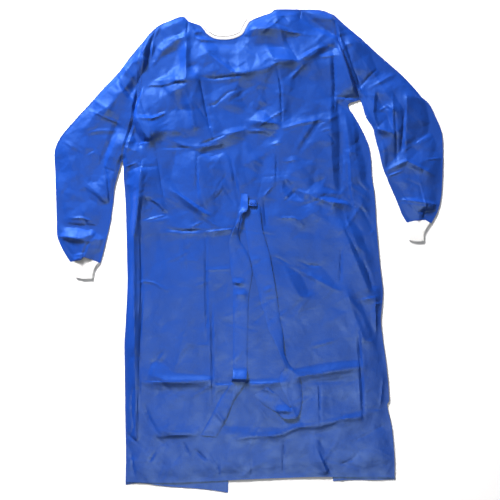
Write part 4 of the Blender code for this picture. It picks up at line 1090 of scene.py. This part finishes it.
def tube(name, grid, under, upper, wall, material):
    """A flattened tube of cloth, open at its first and last row."""
    rows, columns = grid.shape[:2]
    inset = np.zeros((rows, columns, 2))
    for edge, next_in in ((0, 1), (-1, -2)):
        inward = grid[:, next_in] - grid[:, edge]
        inset[:, edge] = TUBE_INSET * wall * inward / np.linalg.norm(inward, axis=1)[:, None]
    under = under.reshape(rows, columns)
    upper = upper.reshape(rows, columns)

    def ring(points, low, high):
        below = np.dstack([points, low])
        above = np.dstack([points, high])[:, ::-1]
        return np.concatenate([below, above], axis=1)

    count = rows * columns * 2
    outer = ring(grid, under, upper)
    inner = ring(grid + inset, under + wall, upper - wall)
    vertices = np.vstack([outer.reshape(-1, 3), inner.reshape(-1, 3)])
    index = np.arange(count).reshape(rows, columns * 2)
    index = np.column_stack([index, index[:, 0]])
    turned = is_turned(grid)
    faces = [grid_faces(index, turned), grid_faces(index + count, not turned)]
    faces.append(grid_faces(np.array([index[0], index[0] + count]), not turned))
    faces.append(grid_faces(np.array([index[-1], index[-1] + count]), turned))
    return add_mesh(name, vertices, np.vstack(faces), material)


def strip_grid(rows, columns):
    """Grid across a strip whose rows give its left and right edge."""
    u = np.linspace(0, 1, columns + 1)[None, :, None]
    return (1 - u) * rows[:, None, 0:2] + u * rows[:, None, 2:4]


def belt_strip(name, table, material):
    """A belt piece that lies on the front, clear of it all over, with a folded edge on each side."""
    rows = smooth_rows(table, BELT_PITCH)
    grid = strip_grid(rows, BELT_COLUMNS)
    flat = grid.reshape(-1, 2)
    below = relief(flat)
    for turn in np.linspace(0, 2 * np.pi, BELT_CLEAR_WAYS, endpoint=False):
        below = np.maximum(below, relief(flat + BELT_CLEAR_REACH * np.array([np.cos(turn), np.sin(turn)])))
    share = np.linspace(0, 1, BELT_COLUMNS + 1)
    lift = np.maximum(rows[:, 4, None] * (1 - share) + rows[:, 5, None] * share, 0).ravel()
    u = np.tile(np.linspace(-1, 1, BELT_COLUMNS + 1), len(rows))
    wave = sum(rise * (1 + facets(flat, spacing, turn, seed)) for spacing, rise, turn, seed in BELT_FACETS)
    for rise, left, right, *line in BELT_CREASES.values():
        lift += fold_height(flat, crease_rows(rise, left, right, from_photo(line)), CREASE_SHARPNESS)
    lower = below + BELT_GAP + lift + wave * (1 - u**4)
    upper = lower + BELT_WALL - BELT_ROUND * u**10
    return slab(name, grid, lower, upper, material), rows, lower.reshape(len(rows), -1)


def front_grid():
    """Grid of the front: its yoke down to the armholes' lower ends, then its skirt."""
    top = smooth_rows(FRONT_TOP, FRONT_PITCH)
    across = shares(top)
    hem = points_at(smooth_rows(FRONT_HEM, FRONT_PITCH), across)
    steps = np.linspace(0, 1, ARMHOLE_STEPS)
    left = points_at(smooth_rows(ARMHOLE_LEFT, FRONT_PITCH), steps)
    right = points_at(smooth_rows(ARMHOLE_RIGHT, FRONT_PITCH), steps)
    chest = left[-1] + across[:, None] * (right[-1] - left[-1])
    sides = smooth_rows(BODY_SIDES, FRONT_PITCH)
    yoke = patch(top, chest, left, right, across)
    skirt = patch(chest, hem, sides[:, :2], sides[:, 2:4], across)
    return np.concatenate([yoke, skirt[1:]])


def back_grid(top, armhole, free, hem, body_side, armhole_first):
    """Grid of one back: its seam side from the armhole down, its free side from neck to hem."""
    steps = np.linspace(0, 1, ARMHOLE_STEPS // 2)
    across = np.linspace(0, 1, BACK_COLUMNS)
    seam = points_at(smooth_rows(armhole, BACK_PITCH), steps)
    free = smooth_rows(free, BACK_PITCH)
    level = np.abs(free[:, 1] - seam[-1, 1]).argmin()
    upper_free = points_at(free[: level + 1], steps)
    hem = points_at(smooth_rows(hem, BACK_PITCH), across)
    body_side = np.vstack([body_side[:-1], hem[0 if armhole_first else -1]])
    lower_free = points_at(free[level:], shares(body_side))
    top = points_at(smooth_rows(top, BACK_PITCH), across)
    upper_sides, lower_sides = [seam, upper_free], [body_side, lower_free]
    if not armhole_first:
        upper_sides.reverse()
        lower_sides.reverse()
    first, last = upper_sides[0][-1], upper_sides[1][-1]
    middle = first + across[:, None] * (last - first)
    shoulder = patch(top, middle, *upper_sides, across)
    skirt = patch(middle, hem, *lower_sides, across)
    return np.concatenate([shoulder, skirt[1:]])


def sleeve_grid(armhole, table, cuff_seam, shift):
    """Grid of one sleeve from the armhole to the cuff seam, shifted off the armhole."""
    steps = np.linspace(0, 1, ARMHOLE_STEPS)
    first = points_at(smooth_rows(armhole, FRONT_PITCH), steps)
    last = points_at(np.array(cuff_seam, float), steps)
    sides = smooth_rows(table, SLEEVE_PITCH)
    grid = patch(first, last, sides[:, :2], sides[:, 2:4], steps)
    return grid + np.array([shift, 0.0])


def cuff_grid(table, cuff_seam, cuff_end):
    """Grid of one cuff, with several columns on each rib."""
    across = np.linspace(0, 1, RIB_COLUMNS * CUFF_RIBS + 1)
    first = points_at(np.array(cuff_seam, float), across)
    last = points_at(np.array(cuff_end, float), across)
    sides = smooth_rows(table, CUFF_PITCH)
    return patch(first, last, sides[:, :2], sides[:, 2:4], across) - np.array([0.0, SEAM_GAP])


def neck_edge():
    """The neck edge of the front, and its directions outwards."""
    top = smooth_rows(FRONT_TOP, BINDING_PITCH)
    first = np.linalg.norm(top - NECK_FIRST, axis=1).argmin()
    last = np.linalg.norm(top - NECK_LAST, axis=1).argmin()
    run = np.gradient(top, axis=0)
    outwards = np.column_stack([-run[:, 1], run[:, 0]]) / np.linalg.norm(run, axis=1)[:, None]
    return top[first : last + 1], outwards[first : last + 1]


def stitches(name, line, size, material, heights=relief, crosswise=False):
    """A row of short arched threads along a line, or across it, each resting on the cloth."""
    spacing, length, width, rise = size
    total = np.linalg.norm(np.diff(line, axis=0), axis=1).sum()
    where = (np.arange(int(total / spacing)) + 0.5) * spacing / total
    middle = points_at(line, where)
    reach = STITCH_AHEAD / total
    ahead = points_at(line, np.minimum(where + reach, 1)) - points_at(line, where - reach)
    ahead /= np.linalg.norm(ahead, axis=1)[:, None]
    if crosswise:
        ahead = np.column_stack([-ahead[:, 1], ahead[:, 0]])
    aside = np.column_stack([-ahead[:, 1], ahead[:, 0]])
    vertices = []
    for along, up in STITCH_ARCH:
        centre = middle + along * length * ahead
        level = heights(centre)
        for over, lift in STITCH_SECTION:
            spot = centre + over * width * aside
            vertices.append(np.column_stack([spot, level + (up + lift) * rise]))
    vertices = np.stack(vertices, axis=1)
    rings, corners = len(STITCH_ARCH), len(STITCH_SECTION)
    index = np.arange(len(middle) * rings * corners).reshape(len(middle), rings, corners)
    faces = []
    for ring in range(rings - 1):
        here, after = index[:, ring], index[:, ring + 1]
        for k in range(corners):
            n = (k + 1) % corners
            faces.append(np.column_stack([here[:, k], here[:, n], after[:, n], after[:, k]]))
    faces.append(index[:, 0, ::-1])
    faces.append(index[:, -1])
    return add_mesh(name, vertices.reshape(-1, 3), np.vstack(faces), material)


class Shader:
    """A material whose nodes are added one by one."""

    # Sockets of a mix of colours, length in metres of one band of a wave texture at scale 1, roughnesses
    MIX_COLOURS = (6, 7)
    MIX_RESULT = 2
    WAVE_BAND = 0.314
    NOISE_ROUGHNESS = 0.55
    SHEEN_ROUGHNESS = 0.4

    def __init__(self, name):
        self.material = bpy.data.materials.new(name)
        self.material.use_nodes = True
        self.tree = self.material.node_tree
        self.surface = self.tree.nodes["Principled BSDF"]
        self.place = self.tree.nodes.new("ShaderNodeTexCoord").outputs["Object"]

    def add(self, kind, values=None, links=None, **settings):
        """A new node with its settings, input values and links."""
        node = self.tree.nodes.new(kind)
        for name, value in settings.items():
            setattr(node, name, value)
        for name, value in (values or {}).items():
            node.inputs[name].default_value = value
        for name, output in (links or {}).items():
            self.tree.links.new(output, node.inputs[name])
        return node

    def noise(self, scale, detail, stretch=(1, 1, 1)):
        """A noise over the piece, stretched where a share is below 1."""
        place = self.add("ShaderNodeMapping", {"Scale": stretch}, {"Vector": self.place}).outputs[0]
        values = {"Scale": scale, "Detail": detail, "Roughness": self.NOISE_ROUGHNESS}
        return self.add("ShaderNodeTexNoise", values, {"Vector": place}).outputs["Fac"]

    def between(self, value, low, high, first, last):
        """From first to last, as the value goes from low to high."""
        values = {"From Min": low, "From Max": high, "To Min": first, "To Max": last}
        return self.add("ShaderNodeMapRange", values, {"Value": value}).outputs[0]

    def vary(self, noise, low, high):
        """From low to high, as the noise goes through its range."""
        return self.between(noise, *NOISE_RANGE, low, high)

    def mix(self, factor, first, second):
        """A colour from first to second, each a colour or an output."""
        node = self.add("ShaderNodeMix", data_type="RGBA")
        self.tree.links.new(factor, node.inputs["Factor"])
        for slot, colour in zip(self.MIX_COLOURS, (first, second)):
            if isinstance(colour, tuple):
                node.inputs[slot].default_value = (*colour, 1.0)
            else:
                self.tree.links.new(colour, node.inputs[slot])
        return node.outputs[self.MIX_RESULT]

    def bump(self, height, distance, normal=None):
        """A normal that follows the height, on top of another normal."""
        links = {"Height": height}
        if normal is not None:
            links["Normal"] = normal
        return self.add("ShaderNodeBump", {"Distance": distance}, links).outputs[0]

    def finish(self, colour, roughness, normal, sheen, tint=NO_TINT, gloss_tint=NO_TINT):
        """The material, with all that its surface shows."""
        self.tree.links.new(colour, self.surface.inputs["Base Color"])
        self.tree.links.new(roughness, self.surface.inputs["Roughness"])
        self.tree.links.new(normal, self.surface.inputs["Normal"])
        self.surface.inputs["Sheen Weight"].default_value = sheen
        self.surface.inputs["Sheen Roughness"].default_value = self.SHEEN_ROUGHNESS
        self.surface.inputs["Sheen Tint"].default_value = (*tint, 1.0)
        self.surface.inputs["Specular Tint"].default_value = (*gloss_tint, 1.0)
        return self.material


def tinted(colour, factor):
    """The colour, made lighter or darker by the factor."""
    return tuple(factor * part for part in colour)


def nonwoven(name, light, deep, roughness):
    """Coated spunbond: bonded dots, fine fibres, faint blotches and a soft gloss."""
    shader = Shader(name)
    blotch = shader.between(shader.noise(scale=9, detail=4), 0.35, 0.65, 0, 1)
    fibre = shader.noise(scale=750, detail=3, stretch=(1, 0.35, 1))
    colour = shader.mix(blotch, light, deep)
    pale = tinted(light, 1.35)
    colour = shader.mix(shader.between(fibre, 0.5, 0.8, 0, 0.45), colour, pale)
    rough = shader.vary(shader.noise(scale=26, detail=3), roughness - 0.05, roughness + 0.07)
    dots = shader.add("ShaderNodeTexVoronoi", {"Scale": 620, "Randomness": 0.1}, {"Vector": shader.place})
    pressed = shader.between(dots.outputs["Distance"], 0.15, 0.4, 0, 1)
    normal = shader.bump(shader.noise(scale=55, detail=5), DEPTH["crinkle"])
    normal = shader.bump(fibre, DEPTH["fibre"], normal)
    normal = shader.bump(pressed, DEPTH["bond"], normal)
    return shader.finish(colour, rough, normal, 0.05, SHEEN_TINT, GLOSS_TINT)


def knit(name, colour, pitch):
    """Rib knit: rows of small loops with a fuzzy surface, and painted shade in the hollows between the loops.
    """
    shader = Shader(name)
    wave = {"Scale": shader.WAVE_BAND / pitch, "Distortion": 1.2, "Detail": 1.5, "Detail Scale": 2.0}
    loops = shader.add(
        "ShaderNodeTexWave", wave, {"Vector": shader.place}, wave_type="BANDS", bands_direction="Y"
    ).outputs["Fac"]
    fuzz = shader.noise(scale=900, detail=3)
    # Painted shade: the white goes darker towards the low bands of the loops, where the bump sinks
    shade = tinted(colour, 0.8)
    base = shader.mix(shader.between(loops, 0.0, 0.5, 0.5, 0), colour, shade)
    rough = shader.vary(fuzz, 0.8, 0.95)
    normal = shader.bump(fuzz, DEPTH["fuzz"], shader.bump(loops, DEPTH["loops"]))
    return shader.finish(base, rough, normal, sheen=0.25)


def tape(name, colour):
    """Plain woven tape."""
    shader = Shader(name)
    weave = shader.add("ShaderNodeTexVoronoi", {"Scale": 1500, "Randomness": 0.2}, {"Vector": shader.place})
    slub = shader.noise(scale=300, detail=3, stretch=(1, 0.3, 1))
    shade = tinted(colour, 0.88)
    base = shader.mix(shader.between(slub, 0.4, 0.7, 0, 0.6), colour, shade)
    rough = shader.vary(slub, 0.7, 0.85)
    woven = shader.bump(weave.outputs["Distance"], DEPTH["weave"])
    normal = shader.bump(slub, DEPTH["slub"], woven)
    return shader.finish(base, rough, normal, sheen=0.15)


def thread(name, colour):
    """Twisted sewing thread."""
    shader = Shader(name)
    twist = shader.noise(scale=2600, detail=2)
    shade = tinted(colour, 0.7)
    base = shader.mix(twist, colour, shade)
    rough = shader.vary(twist, 0.45, 0.6)
    return shader.finish(base, rough, shader.bump(twist, DEPTH["twist"]), sheen=0.1)


def lay(node):
    """Hides the imported solid of that name, which the piece just built replaces."""
    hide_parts(node)


def build_front(cloth, sewing):
    """The front, with the sewing along both armholes."""
    grid = front_grid()
    front = shell("front_cloth", grid, relief(grid.reshape(-1, 2)), cloth)
    for side, armhole, inwards in (("left", ARMHOLE_LEFT, 1), ("right", ARMHOLE_RIGHT, -1)):
        beside = smooth_rows(armhole, FRONT_PITCH) + np.array([inwards * ARMHOLE_SEWING, 0.0])
        stitches("armhole_stitches_" + side, beside, ARMHOLE_STITCH, sewing)
    lay("front_panel")


def build_backs(cloth):
    """The two backs, flat on the surface."""
    body = smooth_rows(BODY_SIDES, BACK_PITCH)
    left = back_grid(BACK_TOP_LEFT, ARMHOLE_LEFT, BACK_FREE_LEFT, BACK_HEM_LEFT, body[:, :2], True)
    right = back_grid(BACK_TOP_RIGHT, ARMHOLE_RIGHT, BACK_FREE_RIGHT, BACK_HEM_RIGHT, body[:, 2:4], False)
    for side, grid in (("left", left), ("right", right)):
        under = under_relief(grid.reshape(-1, 2))
        piece = slab("back_" + side + "_cloth", grid, under, under + CLOTH, cloth)
        lay("back_panel_" + side)


def build_sleeves(cloth):
    """The two sleeves, flattened open tubes."""
    for side, armhole, table, seam, shift in (
        ("left", ARMHOLE_LEFT, SLEEVE_LEFT, CUFF_SEAM_LEFT, -SEAM_GAP),
        ("right", ARMHOLE_RIGHT, SLEEVE_RIGHT, CUFF_SEAM_RIGHT, SEAM_GAP),
    ):
        grid = sleeve_grid(armhole, table, seam, shift)
        flat = grid.reshape(-1, 2)
        piece = tube("sleeve_" + side + "_cloth", grid, under_relief(flat), relief(flat), CLOTH, cloth)
        lay("sleeve_" + side)


def build_cuffs(yarn, sewing):
    """The two ribbed cuffs, with the sewing that joins them to the sleeves."""
    for side, table, seam, end in (
        ("left", CUFF_LEFT, CUFF_SEAM_LEFT, CUFF_END_LEFT),
        ("right", CUFF_RIGHT, CUFF_SEAM_RIGHT, CUFF_END_RIGHT),
    ):
        grid = cuff_grid(table, seam, end)
        flat = grid.reshape(-1, 2)
        rows, columns = grid.shape[:2]
        count = np.arange(columns)
        ribs = RIB_RISE * np.abs(np.cos(np.pi * count / RIB_COLUMNS))
        ends = smooth_step(np.minimum(count, count[::-1]) / (2 * RIB_COLUMNS))
        height = CUFF_HEIGHT + facet_sum(flat, CUFF_FACETS).reshape(rows, columns)
        upper = CUFF_EDGE_HEIGHT + (height - CUFF_EDGE_HEIGHT + ribs) * ends
        piece = tube("cuff_" + side + "_knit", grid, np.zeros(len(flat)), upper, CUFF_WALL, yarn)
        seam_line = points_at(np.array(seam, float), np.linspace(*CUFF_SEWING))
        seam_line += np.array([0.0, CUFF_SEWING_UP])
        sewn = stitches("cuff_stitches_" + side, seam_line, FINE_STITCH, sewing, crosswise=True)
        lay("cuff_" + side)


def binding_top(points):
    """Height over the table of the neck binding's sewing."""
    return LOWEST_UPPER + BINDING_WALL + facet_sum(points, BINDING_FACETS)


def build_binding(strip, sewing):
    """The neck binding, a strip outside the neck edge, sewn along it."""
    edge, outwards = neck_edge()
    table = np.array(NECK_BINDING)
    width = np.interp(shares(edge), table[:, 0], table[:, 1])[:, None]
    inner = edge + outwards * SEAM_GAP
    outer = edge + outwards * (SEAM_GAP + width)
    grid = strip_grid(np.column_stack([outer, inner]), BINDING_COLUMNS)
    u = np.tile(np.linspace(-1, 1, BINDING_COLUMNS + 1), len(edge))
    lower = LOWEST_UPPER + BINDING_LIFT + facet_sum(grid.reshape(-1, 2), BINDING_FACETS)
    upper = lower + BINDING_WALL - BINDING_ROUND * u**6
    piece = slab("neck_binding_tape", grid, lower, upper, strip)
    # Painted shadow: dark grey stitches close to the outer edge draw the shadow line of the binding's folded
    # edge, as well as its sewing
    sewn_line = edge + outwards * (SEAM_GAP + width - BINDING_SEWING)
    sewn = stitches("binding_stitches_and_edge_shadow", sewn_line, BINDING_STITCH, sewing, binding_top)
    lay("neck_binding")


def build_belt(strip, sewing):
    """Both tails of the belt, and the tack over them with its bar of sewing."""
    for name, table in (("belt_left", BELT_LEFT), ("belt_right", BELT_RIGHT)):
        piece = belt_strip(name + "_strip", table, strip)[0]
        lay(name)
    piece, rows, lower = belt_strip("belt_tack_strip", BELT_TACK, strip)
    highest = lower.max(axis=1) + BELT_WALL + BAR_LIFT

    def tack_top(points):
        return np.interp(points[:, 1], rows[::-1, 1], highest[::-1])

    left, right = rows[2, :2], rows[2, 2:4]
    bar = [left * (1 - BAR_INSET) + right * BAR_INSET, left * BAR_INSET + right * (1 - BAR_INSET)]
    bar = np.array(bar) - np.array([0.0, BAR_DOWN])
    # The bar's thread carries a painted highlight: its blue is much paler than the belt's
    sewn = stitches("bar_tack", bar, BAR_STITCH, sewing, tack_top, crosswise=True)
    lay("belt_tack")


def build_gown():
    """All cloth, knit and sewing, each in its material."""
    blue = nonwoven("gown_nonwoven", SOFT_BLUE, DEEP_BLUE, roughness=0.43)
    # Painted light: the belt is the gown's nonwoven with its colours made a tenth lighter and kept off the
    # deep blue
    belt_blue_painted_lighter = nonwoven("belt_nonwoven_painted_lighter", tinted(SOFT_BLUE, 1.1), SOFT_BLUE, roughness=0.42)
    blue_thread = thread("blue_thread", tinted(DEEP_BLUE, 0.8))
    build_front(blue, blue_thread)
    build_backs(blue)
    build_sleeves(blue)
    build_cuffs(knit("rib_knit", WHITE, pitch=0.0015), blue_thread)
    build_binding(tape("binding_tape", TAPE_WHITE), thread("grey_thread_and_edge_shadow", THREAD_AND_EDGE_SHADOW_GREY))
    # Painted highlight: the bar tack's thread is the belt's blue made far paler, for the bright bar the light
    # puts on the raised tack
    build_belt(belt_blue_painted_lighter, thread("belt_thread_painted_highlight", tinted(SOFT_BLUE, 1.6)))


def area_light(name, place, target, size, energy, colour, diffuse, glossy, spread):
    """A square light aimed at its target, itself unseen."""
    light = bpy.data.lights.new(name, "AREA")
    light.shape = "SQUARE"
    light.spread = np.radians(spread)
    light.size = size
    light.energy = energy
    light.color = colour
    item = bpy.data.objects.new(name, light)
    item.visible_camera = False
    item.visible_diffuse = diffuse
    item.visible_glossy = glossy
    item.location = place
    item.rotation_euler = (Vector(target) - Vector(place)).to_track_quat("-Z", "Y").to_euler()
    bpy.context.scene.collection.objects.link(item)


def build_studio():
    """Pale floor, lights, world and camera."""
    shader = Shader("studio_floor")
    shade = shader.vary(shader.noise(scale=3, detail=2), 0, 1)
    colour = shader.mix(shade, FLOOR_LIGHT, FLOOR_SHADE)
    rough = shader.vary(shader.noise(scale=40, detail=2), 0.85, 0.95)
    white = shader.finish(colour, rough, shader.bump(shade, DEPTH["floor"]), sheen=0.0)
    shader.surface.inputs["Specular IOR Level"].default_value = 0.0
    mesh = bpy.data.meshes.new("studio_floor")
    around = ((-1, -1), (1, -1), (1, 1), (-1, 1))
    corners = [(x * FLOOR_HALF, y * FLOOR_HALF, -FLOOR_DOWN) for x, y in around]
    mesh.from_pydata(corners, [], [(0, 1, 2, 3)])
    mesh.materials.append(white)
    floor = bpy.data.objects.new("studio_floor", mesh)
    bpy.context.scene.collection.objects.link(floor)

    for light in LIGHTS:
        area_light(*light)
    world = bpy.data.worlds.new("studio")
    world.use_nodes = True
    background = world.node_tree.nodes["Background"]
    background.inputs["Color"].default_value = (*WORLD_COLOUR, 1.0)
    background.inputs["Strength"].default_value = WORLD_STRENGTH
    bpy.context.scene.world = world
    bpy.context.scene.view_settings.view_transform = "Standard"

    middle = from_photo((PHOTO_SIZE / 2, PHOTO_SIZE / 2)) * MM
    shown = PHOTO_SIZE * PHOTO_SCALE * MM
    camera = bpy.data.cameras.new("camera")
    camera.sensor_width = CAMERA_SENSOR
    camera.lens = CAMERA_SENSOR * CAMERA_HEIGHT / shown
    item = bpy.data.objects.new("camera", camera)
    item.location = (middle[0], middle[1], CAMERA_HEIGHT)
    bpy.context.scene.collection.objects.link(item)
    bpy.context.scene.camera = item


EDGES = free_edges()
PLATES_LAID = plate_field()
build_gown()
build_studio()
